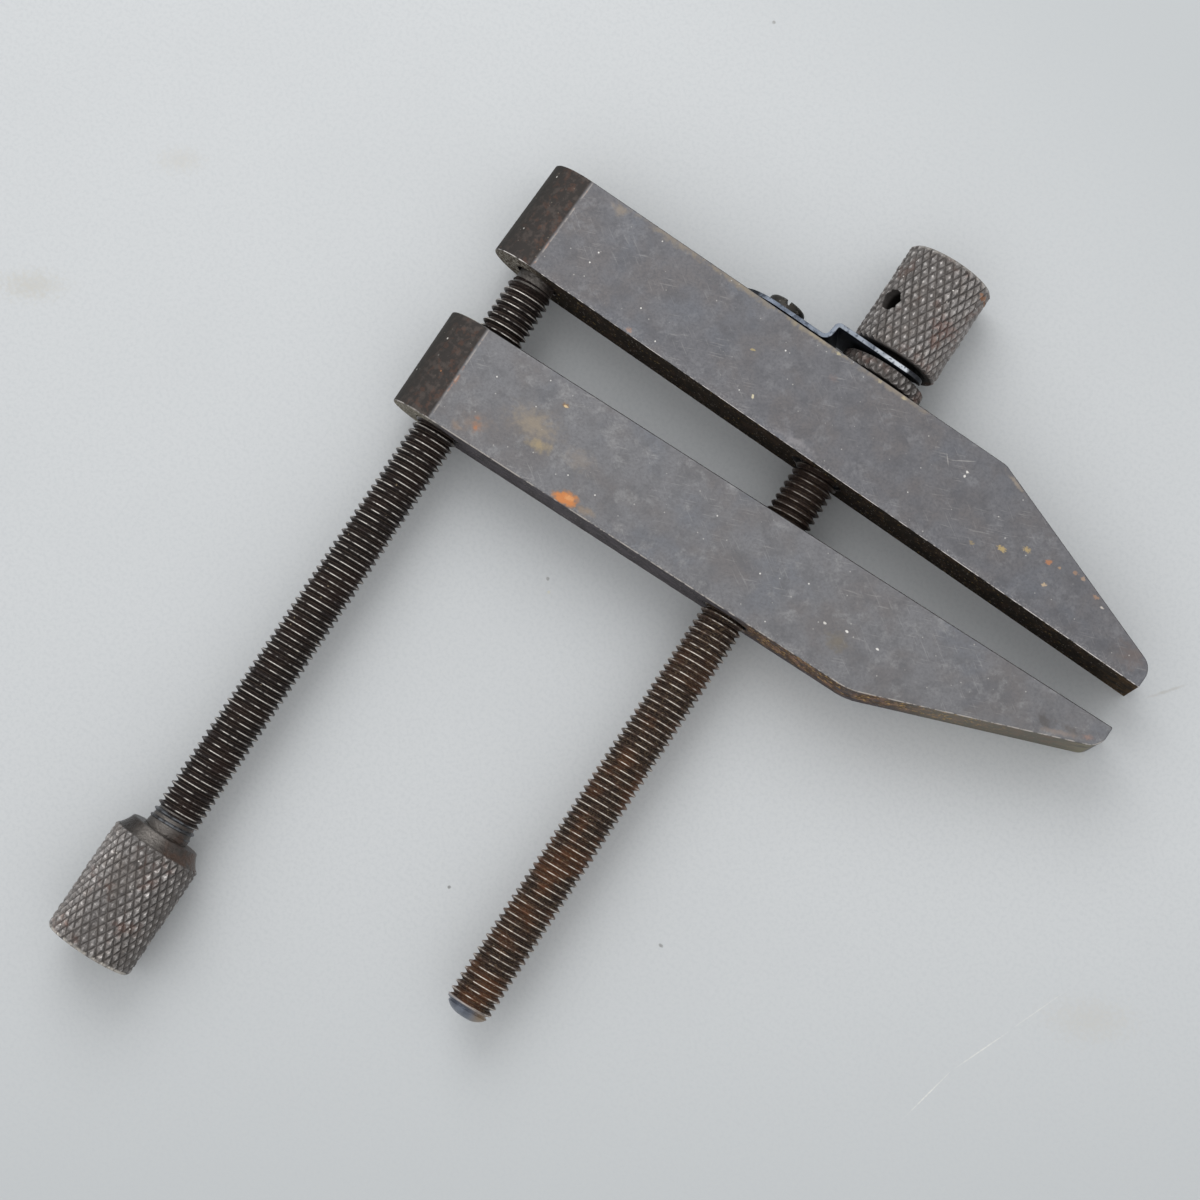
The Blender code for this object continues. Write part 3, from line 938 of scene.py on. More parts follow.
@dataclass(frozen=True)
class BlackedKnurl:
    """Knurled and turned blacked steel: the diamonds' tips are rubbed to a grey-brown sparkle,
    and dirt and rust fill the valleys between them. Painted shade darkens one side of the barrel,
    the left of the smooth parts, the groove and the hole, and a painted highlight runs along the
    top of the smooth parts. Heights count from the place."""

    name: str
    place: Place
    tip_radius: float
    smooth: tuple[float, float]
    # Heights between which the groove and the hole get painted shade
    inside: tuple[float, float]
    # Painted shade: where one side of the knob is darker, measured across the axis
    shaded: tuple[float, float]
    rim: tuple[float, float]
    rim_strength: float
    marks: tuple[Mark, ...] = ()

    def between(self, height: Socket, heights: tuple[float, float]) -> Socket:
        """A mask between a lower and an upper height."""
        low, high = (self.place[1] + level for level in heights)
        return product(fade(height, low, low + 0.0002), fade(height, high, high - 0.0002))

    def make(self) -> Material:
        """Lay the finish's colours over each other.

        Returns:
            The knob's material.
        """
        material, place, _ = begin(self.name, metallic=0.8, roughness=0.34)
        radius, height, sideways = round_axis(place, self.place)
        tip = self.tip_radius
        smooth = self.between(height, self.smooth)
        valley = fade(radius, tip - 0.00020, tip - 0.00034, 0.75)
        grit = patches(place, 0.0005, (0.38, 0.66), 0.8, seed=0.47, detail=5.0)
        blotches = patches(place, 0.0022, (0.40, 0.62), 0.7, seed=0.57, detail=5.0)
        # Painted highlight: a lighter band along the top of the smooth turned parts
        painted_highlight_band = product(fade(sideways, -0.0030, -0.0010), fade(sideways, 0.0020, 0.0002, 0.6))
        rim = fade(height, self.place[1] + self.rim[0], self.place[1] + self.rim[1])
        layers = [
            (blotches, "#87807b"),
            (patches(place, 0.0040, (0.45, 0.65), 0.5, seed=0.27), "#918e8d"),
            (grit, "#676361"),
            (valley, "#47423f"),
            (patches(place, 0.0035, (0.55, 0.70), 0.5, seed=0.37), "#7b5c51"),
            # Painted shade: one side of the knob darker
            (fade(sideways, *self.shaded, 0.55), "#494644"),
            *through(
                fade(radius, tip - 0.00016, tip - 0.00002),
                ("#bbb7b4", patches(place, 0.0008, (0.42, 0.60), 0.75, seed=0.17)),
            ),
            (specks(place, 0.0011, 0.00015, 0.35, 0.95), "#ebe7e0"),
            *through(
                product(rim, fade(radius, tip - 0.0006, tip - 0.0004)),
                ("#c6c1b9", patches(place, 0.0010, (0.34, 0.54), self.rim_strength, seed=0.67)),
            ),
            *[(mark.mask(place, grit), mark.colour) for mark in self.marks],
            *through(
                smooth,
                ("#4b4643",),
                ("#5f5a56", grit, 0.6),
                # painted highlight along the top of the smooth parts
                ("#75716d", painted_highlight_band),
                # painted shade on the left side of the smooth parts
                ("#332e2b", fade(sideways, -0.0018, -0.0040)),
                ("#6d5040", fade(sideways, 0.0008, 0.0030, 0.6), blotches),
            ),
            # Painted shade: near-black in the groove and the tommy hole
            (product(self.between(height, self.inside), fade(radius, 0.0052, 0.0046)), "#1a1715"),
        ]
        dull = product(valley, beside(smooth), 0.8)
        return wire(material, coat("#9b9795", layers), grit, 0.00005, dull)


@dataclass(frozen=True)
class BluedSpring:
    """Hardened spring strip, blued by heat: a dark blue-grey with bright silver cut edges,
    which stay dark blue past the fork's shoulder."""

    name: str
    foot_end: float
    step: float
    dark_from: float

    def make(self) -> Material:
        """Lay the finish's colours over each other.

        Returns:
            The clip's material.
        """
        material, place, normal = begin(self.name, metallic=0.8, roughness=0.34)
        along = add(place, "SeparateXYZ", {0: place})[0]
        edge = fade(add(place, "SeparateXYZ", {0: normal})[2], 0.35, 0.7)
        scuffs = patches(place, 0.0016, (0.42, 0.66), 0.6, seed=0.19, stretch=(0.4, 1.0, 1.0))
        layers = [
            (scuffs, "#626a76"),
            (edge, "#737b87"),
            *through(
                product(edge, fade(along, self.step - 0.0003, self.step + 0.0003)),
                ("#858c96",),
                ("#b3b8bf", fade(along, self.dark_from - 0.0075, self.dark_from - 0.0010)),
            ),
            *through(
                edge,
                ("#4c535f", patches(place, 0.0030, (0.45, 0.65), 0.8, seed=0.29)),
                ("#3f4550", patches(place, 0.0005, (0.52, 0.62), 0.8, seed=0.39)),
            ),
            (fade(along, self.dark_from, self.dark_from + 0.0005, 0.95), "#14161c"),
            (fade(along, self.foot_end + 0.0030, self.foot_end + 0.0022, 0.9), "#1e2127"),
        ]
        return wire(material, coat("#3c4450", layers), scuffs, 0.00001)


@dataclass(frozen=True)
class OiledBlack:
    """Small turned screw in blacked steel, dark with old oil and dirt."""

    name: str

    def make(self) -> Material:
        """Lay the finish's colours over each other.

        Returns:
            The small screw's material.
        """
        material, place, _ = begin(self.name, metallic=0.5, roughness=0.45)
        dirt = patches(place, 0.0008, (0.45, 0.66), 0.8, seed=0.16)
        layers = [
            (dirt, "#191815"),
            (patches(place, 0.0012, (0.56, 0.68), 0.6, seed=0.26), "#3f2e21"),
            (patches(place, 0.0005, (0.60, 0.72), 0.7, seed=0.36), "#6f6b66"),
        ]
        return wire(material, coat("#2f2c27", layers), dirt, 0.00002)


# Pieces


def finish(obj: Piece, name: str, material: Material, body: Body, nodes: Sequence[str]) -> None:
    """Name a piece, dress it and hang it on its CAD body.

    Args:
        obj: The finished mesh.
        name: The piece's name.
        material: Its finish.
        body: The body it rides on.
        nodes: The CAD nodes it stands for.
    """
    obj.name = name
    obj.data.name = name
    obj.data.materials.clear()
    obj.data.materials.append(material)
    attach(obj, body.value)
    if nodes:
        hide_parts(*nodes)
    LOG.info("%s: %d faces on %s", name, len(obj.data.polygons), body.value)


@dataclass(frozen=True)
class ScrewThread:
    """Whitworth-form thread, 26 turns to the inch, right-handed"""

    radius: float = 0.003175
    pitch: float = 0.000977
    depth: float = 0.000625
    rounding: float = 0.000134
    steps: int = 40
    flank_angle: float = 27.5

    @property
    def envelope(self) -> float:
        """Radius just outside the crests."""
        return self.radius + 0.00005

    def one_pitch(self) -> Profile:
        """Draw the thread's form.

        Returns:
            (radius, height) points from one root to the next.
        """
        sweep = math.radians(90.0 - self.flank_angle)
        across = self.rounding * math.sin(sweep)
        drop = self.rounding * (1.0 - math.cos(sweep))
        low = self.radius - self.depth
        crest = [
            (
                self.radius - self.rounding * (1.0 - math.cos(sweep * share)),
                self.pitch / 2 + self.rounding * math.sin(sweep * share),
            )
            for share in (-1.0, -0.35, 0.35, 1.0)
        ]
        return [(low, 0.0), (low + drop, across), *crest, (low + drop, self.pitch - across), (low, self.pitch)]

    def rod(self, name: str, start: float, end: float) -> Piece:
        """A threaded rod along Z with flat ends.

        Args:
            name: The object's name.
            start: Lower end.
            end: Upper end.

        Returns:
            The closed rod.
        """
        turns = math.ceil((end - start) / self.pitch) + 3
        base = start - 1.5 * self.pitch
        rod = trace(name, [(radius, 0.0, base + height) for radius, height in self.one_pitch()])
        turning = {"axis": "Z", "angle": math.tau, "screw_offset": self.pitch, "iterations": turns}
        work(rod, "SCREW", **turning, steps=self.steps, render_steps=self.steps, use_smooth_shade=True)
        close_up(rod)
        with editing(rod):
            for height, side in ((start, -1.0), (end, 1.0)):
                trim((0.0, 0.0, height), (0.0, 0.0, side))
            bpy.ops.mesh.select_all(action="SELECT")
            bpy.ops.mesh.quads_convert_to_tris(quad_method="BEAUTY", ngon_method="BEAUTY")
            bpy.ops.mesh.normals_make_consistent(inside=False)
        return rod


@dataclass(frozen=True)
class Knurl:
    """Diamond knurl: thirty teeth round each way, with rubbed tips"""

    teeth: int = 30
    row: float = 0.001065
    depth: float = 0.00034
    tip_share: float = 0.22
    unevenness: float = 0.00012

    def sleeve(self, name: str, radius: float, start: float, end: float) -> Piece:
        """A knurled bar along Z that reaches past start and end.

        Args:
            name: The object's name.
            radius: Radius over the tips.
            start: Lower end.
            end: Upper end.

        Returns:
            The closed bar.
        """
        low = radius - self.depth
        grow = (low + self.depth / (1.0 - self.tip_share)) / low
        rows = math.ceil((end - start) / self.row) + 2
        count = 2 * self.teeth
        base = start - self.row
        bpy.ops.mesh.primitive_circle_add(vertices=count, radius=low, fill_type="NGON", location=(0.0, 0.0, base))
        sleeve = fresh(name)

        def is_tip(point: Any) -> bool:
            """Tell the diamonds' tips from the other points.

            Args:
                point: A point of the lattice.

            Returns:
                Whether it is a tip.
            """
            place = round(math.atan2(point.co.y, point.co.x) / (math.tau / count))
            height = round((point.co.z - base) / self.row)
            return (place + height) % 2 == 0 and 0 < height < rows

        with editing(sleeve):
            for _ in range(rows):
                bpy.ops.mesh.extrude_region_move(TRANSFORM_OT_translate={"value": (0.0, 0.0, self.row)})
            pick(sleeve, Pick.POINTS, is_tip)
            bpy.ops.transform.resize(value=(grow, grow, 1.0), center_override=(0.0, 0.0, 0.0))
            tips = pick(sleeve, Pick.POINTS, is_tip)
            pick(sleeve, Pick.FACES, lambda face: len(face.verts) == 4)
            bpy.ops.mesh.quads_convert_to_tris(quad_method="SHORTEST_DIAGONAL")
            pick(sleeve, Pick.POINTS, is_tip)
            bpy.ops.transform.vertex_random(offset=self.unevenness, seed=tips)
            flat = 100.0 * self.tip_share
            bpy.ops.mesh.bevel(offset_type="PERCENT", offset_pct=flat, affect="VERTICES", segments=1)
            bpy.ops.mesh.select_all(action="SELECT")
            bpy.ops.mesh.normals_make_consistent(inside=False)
        return sleeve

    def ring(self, name: str, radius: float, profile: Profile) -> Piece:
        """A turned shape whose outside is knurled.

        Args:
            name: The object's name.
            radius: Radius over the tips.
            profile: The turned shape, (radius, height).

        Returns:
            The closed solid.
        """
        heights = [height for _, height in profile]
        ring = self.sleeve(name, radius, min(heights), max(heights))
        combine(ring, lathe("turned_shape", profile), Join.KEEP)
        return ring


THREAD = ScrewThread()
KNURL = Knurl()


@dataclass
class Jaw:
    """A jaw: ground bar with a sloping nose and a half-round heel"""

    body: Body
    stand: Stand
    steel: BlackedBar
    side: float
    depth: float
    holes: tuple[tuple[float, float, float, float], ...]
    thickness: float = 0.0127
    tip: float = 0.0485
    heel: float = 0.0516
    nose_height: float = 0.0030
    nose_slope: float = 20.15
    nose_radius: float = 0.0022
    blend_radius: float = 0.0080
    heel_radius: float = 0.0063
    edge_break: float = 0.00026

    def blank(self) -> Piece:
        """The bar with its nose, blend and heel, without holes.

        Returns:
            The bar in the jaw's own frame.
        """
        half = self.thickness / 2
        far = self.side * self.depth
        near = self.side * self.nose_height
        jaw = block(self.body.value, (-self.heel, min(0.0, far), -half), (self.tip, max(0.0, far), half))
        slope = math.radians(self.nose_slope)
        run = (self.depth - self.nose_height) / math.tan(slope)

        def stands_at(x: float, y: float) -> Callable[[Any], bool]:
            """Make a test for an upright edge of the jaw.

            Args:
                x: Where the edge is along the jaw.
                y: Where it is across the jaw.

            Returns:
                The test.
            """
            return lambda edge: all(
                abs(p.co.x - x) < PICK_DISTANCE and abs(p.co.y - y) < PICK_DISTANCE for p in edge.verts
            )

        def across_heel(edge: Any) -> bool:
            """Whether an edge runs across the jaw at its heel."""
            return max(p.co.x for p in edge.verts) < PICK_DISTANCE - self.heel and span(edge)[2] < MERGE_DISTANCE

        with editing(jaw):
            trim((self.tip, near, 0.0), (math.sin(slope), self.side * math.cos(slope), 0.0))
            round_edges(jaw, stands_at(self.tip - run, far), self.blend_radius * math.tan(slope / 2), 6)
            corner = self.nose_radius * math.tan((math.radians(90.0) - slope) / 2)
            round_edges(jaw, stands_at(self.tip, near), corner, 9)
            round_edges(jaw, across_heel, self.heel_radius, 14)
        return jaw

    def build(self) -> None:
        """Model, dress and place the jaw."""
        name = self.body.value
        jaw = self.blank()
        for hole in self.holes:
            drill(jaw, *hole)
        break_edges(jaw, self.edge_break, 3, SMOOTH_ANGLE)
        self.stand.carry(jaw)
        finish(jaw, name + "_bar", self.steel.make(), self.body, [name])


def knob_profile(radius: float, outer: float, inner: float) -> Profile:
    """A knob barrel with chamfered rims and a slightly domed free end.

    Args:
        radius: The barrel's radius.
        outer: Its free end.
        inner: Its plain end.

    Returns:
        (radius, height) points from the free end to the plain end.
    """
    chamfer, dome = 0.0004, 0.0004
    sign = 1.0 if outer > inner else -1.0
    flat = radius - chamfer
    crown = [(flat * share, outer - sign * dome * share**2) for share in (0.0, 0.25, 0.5, 0.75, 1.0)]
    rim = (radius, outer - sign * dome - sign * chamfer)
    return [*crown, rim, (radius, inner + sign * chamfer), (flat, inner), (0.0, inner)]


@dataclass
class Screw:
    """A turned screw along Y. It is modelled along Z, and its heights are counted from its
    place, which is level with the threaded jaw's clamping face."""

    body: Body
    place: Place

    def shank(self) -> Piece:
        """The threaded part."""
        raise NotImplementedError

    def head(self) -> Piece:
        """The rest of the screw."""
        raise NotImplementedError

    def thread_steel(self) -> BlackedThread:
        """The threaded part's finish."""
        raise NotImplementedError

    def knob_steel(self) -> BlackedKnurl:
        """The head's finish."""
        raise NotImplementedError

    def build(self) -> None:
        """Model, dress and place the screw."""
        name = self.body.value
        for part, model, steel, angle, nodes in (
            ("_thread", self.shank, self.thread_steel, SMOOTH_ANGLE, [name]),
            ("_head", self.head, self.knob_steel, KNURL_SMOOTH_ANGLE, []),
        ):
            piece = model()
            soften(piece, angle)
            settle(piece, self.place, LYING)
            finish(piece, name + part, steel().make(), self.body, nodes)


@dataclass
class CentreScrew(Screw):
    """Screw that draws the jaws together: threaded shank, collar, clip groove and knurled barrel"""

    tail_end: float
    front_end: float
    tail_dome: float = 0.0024
    tail_flat: float = 0.0007
    thread_top: float = 0.0120
    collar_seat: float = 0.022057
    collar_radius: float = 0.0060
    collar_chamfer: float = 0.00030
    groove_start: float = 0.023805
    barrel_start: float = 0.025781
    groove_radius: float = 0.0032
    barrel_radius: float = 0.0061
    hole_radius: float = 0.0015
    hole_height: float = 0.031581
    hole_angle: float = 46.5

    def shank(self) -> Piece:
        """Model the threaded part.

        Returns:
            The rod along Z, from its domed tail into the plain jaw.
        """
        rod = THREAD.rod("centre_thread", self.tail_end - THREAD.pitch, self.thread_top)
        wide = THREAD.envelope
        dome = rounded(wide, self.tail_end, wide - self.tail_flat, self.tail_dome, steps=12)
        top = self.thread_top + CUT_MARGIN
        combine(rod, lathe("tail_shape", [(0.0, self.tail_end), *dome, (wide, top), (0.0, top)]), Join.KEEP)
        return rod

    def head(self) -> Piece:
        """Collar, groove and barrel, with the plain shank that carries them.

        Returns:
            The head, along Z.
        """
        barrel = knob_profile(self.barrel_radius + TRIM_MARGIN, self.front_end, self.barrel_start)
        head = KNURL.ring("centre_head", self.barrel_radius, barrel)
        rim = self.collar_radius + TRIM_MARGIN
        soft = self.collar_chamfer
        high, low = self.groove_start, self.collar_seat
        half_collar = [(0.0, high), (rim - soft, high), (rim, high - soft)]
        collar = KNURL.ring(
            "collar", self.collar_radius, [*half_collar, (rim, low + soft), (rim - soft, low), (0.0, low)]
        )
        core = []
        shoulders = (self.barrel_start + 0.001, self.collar_seat + 0.001, self.thread_top - 0.0005)
        for radius, start, end in zip((self.groove_radius, THREAD.radius - 0.00010), shoulders, shoulders[1:]):
            core += [(radius, start), (radius, end)]
        combine(head, collar, Join.ADD)
        combine(head, lathe("core", [(0.0, shoulders[0]), *core, (0.0, shoulders[-1])]), Join.ADD)
        reach = self.barrel_radius + CUT_MARGIN
        tommy = bar("tommy_hole", self.hole_radius, -reach, reach)
        settle(tommy, (0.0, 0.0, self.hole_height), (90.0, 0.0, 0.0))
        settle(tommy, (0.0, 0.0, 0.0), (0.0, 0.0, -self.hole_angle))
        combine(head, tommy, Join.CUT)
        return head

    def thread_steel(self) -> BlackedThread:
        """Finish of the rusted thread, with a bright tail.

        Returns:
            The finish.
        """
        return BlackedThread(
            "rusted_blacked_thread", self.place, root="#2f2521", flank="#574840",
            rust="#7f5236", rust_strength=0.6, rust_from=-0.012, crest="#d9d2c8", dust="#8f7c62",
            polished="#686d78", polished_pale="#868c98",
            polished_end=self.tail_end + 0.0017, polished_rim=self.tail_end + 0.0013, tail_strength=1.0,
        )

    def knob_steel(self) -> BlackedKnurl:
        """Finish of the front knob and of the collar.

        Returns:
            The finish.
        """
        outer = self.front_end
        return BlackedKnurl(
            "front_knob_steel", self.place, self.barrel_radius, smooth=(0.0, self.collar_seat),
            inside=(self.collar_seat + 0.001, outer - 0.002), shaded=(-0.0012, -0.0045),
            rim=(outer - 0.0009, outer - 0.0006), rim_strength=0.4, marks=FRONT_KNOB_MARKS,
        )


@dataclass
class RearScrew(Screw):
    """Screw that pushes the plain jaw's heel away: nose, threaded shank, neck, boss and barrel"""

    rear_end: float
    nose_end: float
    thread_end: float = 0.0075206
    nose_radius: float = 0.00265
    nose_chamfer: float = 0.0005
    nose_taper: float = 0.0012
    boss_face: float = -0.0767794
    neck_length: float = 0.0007
    neck_radius: float = 0.00306
    run_out: float = 0.0030
    boss_length: float = 0.0018
    boss_radius: float = 0.0049
    boss_hollow: float = 0.00006
    boss_edge: float = 0.0004
    rim: float = 0.0004
    barrel_radius: float = 0.00615

    def shank(self) -> Piece:
        """Model the threaded part.

        Returns:
            The rod along Z, from the neck to the nose's taper.
        """
        neck_top = self.boss_face + self.neck_length
        taper_end = self.thread_end + self.nose_taper
        rod = THREAD.rod("rear_thread", neck_top, taper_end)
        neck = self.neck_radius + TRIM_MARGIN
        above, below = taper_end - 0.0001, neck_top - CUT_MARGIN
        profile = [
            (0.0, above), (self.nose_radius, above), (THREAD.envelope, self.thread_end - 0.0002),
            (THREAD.envelope, neck_top + self.run_out), (neck, neck_top + 0.0003), (neck, below), (0.0, below),
        ]
        combine(rod, lathe("thread_shape", profile), Join.KEEP)
        return rod

    def head(self) -> Piece:
        """Barrel, boss, neck and the core that ends in the turned nose.

        Returns:
            The head, along Z.
        """
        boss_root = self.boss_face - self.boss_length
        barrel = knob_profile(self.barrel_radius + TRIM_MARGIN, self.rear_end, boss_root)
        head = KNURL.ring("rear_head", self.barrel_radius, barrel)
        root = THREAD.radius - THREAD.depth - 0.00008
        neck_top = self.boss_face + self.neck_length
        soft = self.boss_edge
        rise = self.barrel_radius - self.rim - self.boss_radius
        cone = [
            (
                self.boss_radius + share * rise - self.boss_hollow * math.sin(math.pi * share),
                self.boss_face - soft - share * (self.boss_length - soft),
            )
            for share in (0.25, 0.5, 0.75, 1.0)
        ]
        nose, tip, below = self.nose_radius, self.nose_end, boss_root - 0.001
        core = [
            (0.0, tip), (nose - self.nose_chamfer, tip), (nose, tip - self.nose_chamfer),
            (nose, self.thread_end + self.nose_taper - 0.0004), (root, self.thread_end - 0.0010),
            (root, neck_top + self.run_out), (self.neck_radius, neck_top - 0.0002),
            (self.neck_radius, self.boss_face), *rounded(self.boss_radius, self.boss_face, soft, -soft),
            *cone, (cone[-1][0], below), (0.0, below),
        ]
        combine(head, lathe("core", core), Join.ADD)
        return head

    def thread_steel(self) -> BlackedThread:
        """Finish of the dark thread.

        Returns:
            The finish.
        """
        return BlackedThread(
            "blacked_thread", self.place, root="#201b1a", flank="#352f2d",
            rust="#46332c", rust_strength=0.35, rust_from=0.020, crest="#d6d1ca", dust="#504843",
            polished="#3b3a3b", polished_pale="#7d8187",
            polished_end=self.boss_face + 0.0026, polished_rim=self.boss_face - 0.001, tail_strength=0.0,
        )

    def knob_steel(self) -> BlackedKnurl:
        """Finish of the rear knob, its boss and the nose.

        Returns:
            The finish.
        """
        outer = self.rear_end
        return BlackedKnurl(
            "rear_knob_steel", self.place, self.barrel_radius,
            smooth=(self.boss_face - self.boss_length - 0.0002, self.nose_end + 0.001),
            inside=(outer - 0.002, outer - 0.001), shaded=(0.0020, 0.0055),
            rim=(outer + 0.0009, outer + 0.0006), rim_strength=0.8,
        )


@dataclass
class SpringClip:
    """Cranked spring strip whose fork sits in the centre screw's groove, in the plain jaw's frame"""

    stand: Stand
    foot_base: float = 0.01395
    thickness: float = 0.0006
    width: float = 0.0117
    step_height: float = 0.0024
    step_angle: float = 86.0
    low_bend: float = 0.00105
    high_bend: float = 0.0005
    step_x: float = -0.0086
    screw_x: float = -0.0159
    foot_length: float = 0.0059
    fork_x: float = -0.000648
    tine_reach: float = 0.0049
    slot_radius: float = 0.0034
    corner_radius: float = 0.0019
    hole_radius: float = 0.0017
    edge_break: float = 0.00008

    @property
    def foot_end(self) -> float:
        """Where the foot ends."""
        return self.screw_x - self.foot_length

    @property
    def tip(self) -> float:
        """Where the fork ends."""
        return self.fork_x + self.tine_reach

    def build(self) -> None:
        """Model, dress and place the clip."""
        foot = self.foot_base + self.thickness / 2
        fork = foot + self.step_height
        rise = math.radians(self.step_angle)
        run = self.step_height / math.tan(rise)
        half = self.width / 2
        low = -half - CUT_MARGIN
        bends = [(self.foot_end - CUT_MARGIN, foot), (self.step_x - run, foot)]
        bends += [(self.step_x, fork), (self.tip + CUT_MARGIN, fork)]
        clip = trace("clip", [(x, y, low) for x, y in bends])

        def bent_at(height: float) -> Callable[[Any], bool]:
            """Make a test for an edge across the strip where it bends.

            Args:
                height: Height of the bend.

            Returns:
                The test.
            """
            return lambda edge: span(edge)[2] > half and all(
                self.foot_end < p.co.x < self.tip and abs(p.co.y - height) < MERGE_DISTANCE for p in edge.verts
            )

        with editing(clip):
            bpy.ops.mesh.extrude_edges_move(TRANSFORM_OT_translate={"value": (0.0, 0.0, -2 * low)})
            for height, radius in ((foot, self.low_bend), (fork, self.high_bend)):
                round_edges(clip, bent_at(height), radius * math.tan(rise / 2), 6)
        work(clip, "SOLIDIFY", thickness=self.thickness, offset=0.0, use_even_offset=True)
        close_up(clip)
        combine(clip, self.plan(half), Join.KEEP)
        combine(clip, self.slot(), Join.CUT)
        drill(clip, self.hole_radius, self.screw_x, self.foot_base - CUT_MARGIN, foot + CUT_MARGIN)
        break_edges(clip, self.edge_break, 2, 50.0)
        self.stand.carry(clip)
        origin = self.stand.place[0] + self.foot_base * math.sin(math.radians(self.stand.tilt))
        ends = (self.foot_end, self.step_x, self.tip - 0.0023)
        steel = BluedSpring("blued_spring_strip", *(origin + x for x in ends))
        finish(clip, "spring_clip_strip", steel.make(), Body.PLAIN_JAW, ["spring_clip"])

    def slab(self, name: str, start: float, end: float, half: float) -> Piece:
        """A block that reaches past the clip's faces, from start to end and half wide each way."""
        top = self.foot_base + self.step_height + CUT_MARGIN
        return block(name, (start, self.foot_base - CUT_MARGIN, -half), (end, top, half))

    def plan(self, half: float) -> Piece:
        """The clip's outside: a round foot and a fork with soft corners.

        Args:
            half: Half the width.

        Returns:
            A block to keep the strip inside.
        """
        plan = self.slab("clip_plan", self.foot_end, self.tip, half)
        middle = (self.foot_end + self.tip) / 2

        def corner(at_foot: bool) -> Callable[[Any], bool]:
            """Make a test for the edges along Y at one end.

            Args:
                at_foot: The foot's end, or else the fork's.

            Returns:
                The test.
            """
            return lambda edge: (
                all((p.co.x < middle) == at_foot for p in edge.verts)
                and span(edge)[0] < MERGE_DISTANCE
                and span(edge)[2] < MERGE_DISTANCE
            )

        with editing(plan):
            for at_foot, radius in ((True, NEARLY_HALF * half), (False, self.corner_radius)):
                round_edges(plan, corner(at_foot), radius, 12)
        return plan

    def slot(self) -> Piece:
        """The fork's slot, round at its inner end.

        Returns:
            The cutter.
        """
        radius = self.slot_radius
        slot = self.slab("fork_slot", self.fork_x - radius, self.tip + CUT_MARGIN, radius)

        def inner(edge: Any) -> bool:
            """Whether an edge runs along Y at the slot's inner end."""
            return all(p.co.x < self.fork_x for p in edge.verts) and span(edge)[2] < MERGE_DISTANCE

        with editing(slot):
            round_edges(slot, inner, NEARLY_HALF * radius, 12)
        return slot


@dataclass
class ClipScrew:
    """Small slotted screw that holds the clip's foot, in the plain jaw's frame"""

    stand: Stand
    screw_x: float = -0.0159
    under_head: float = 0.01475
    head_radius: float = 0.00265
    head_height: float = 0.0016
    head_rounding: float = 0.0007
    slot_width: float = 0.0006
    slot_depth: float = 0.0007
    shank_radius: float = 0.0014
    shank_length: float = 0.0050
    edge_break: float = 0.00008

    def build(self) -> None:
        """Model, dress and place the screw."""
        soft, top, wide, shank = self.head_rounding, self.head_height, self.head_radius, self.shank_radius
        profile = [(0.0, top), *rounded(wide, top, soft, -soft), (wide, 0.0), (shank, 0.0)]
        screw = lathe("screw", [*profile, (shank, -self.shank_length), (0.0, -self.shank_length)])
        half = self.slot_width / 2
        reach = wide + CUT_MARGIN
        slot = block("driver_slot", (-half, -reach, top - self.slot_depth), (half, reach, top + CUT_MARGIN))
        combine(screw, slot, Join.CUT)
        break_edges(screw, self.edge_break, 2, 50.0)
        settle(screw, (self.screw_x, self.under_head, 0.0), LYING)
        self.stand.carry(screw)
        steel = OiledBlack("oiled_blacked_steel")
        finish(screw, "clip_screw_slotted", steel.make(), Body.PLAIN_JAW, ["clip_screw"])


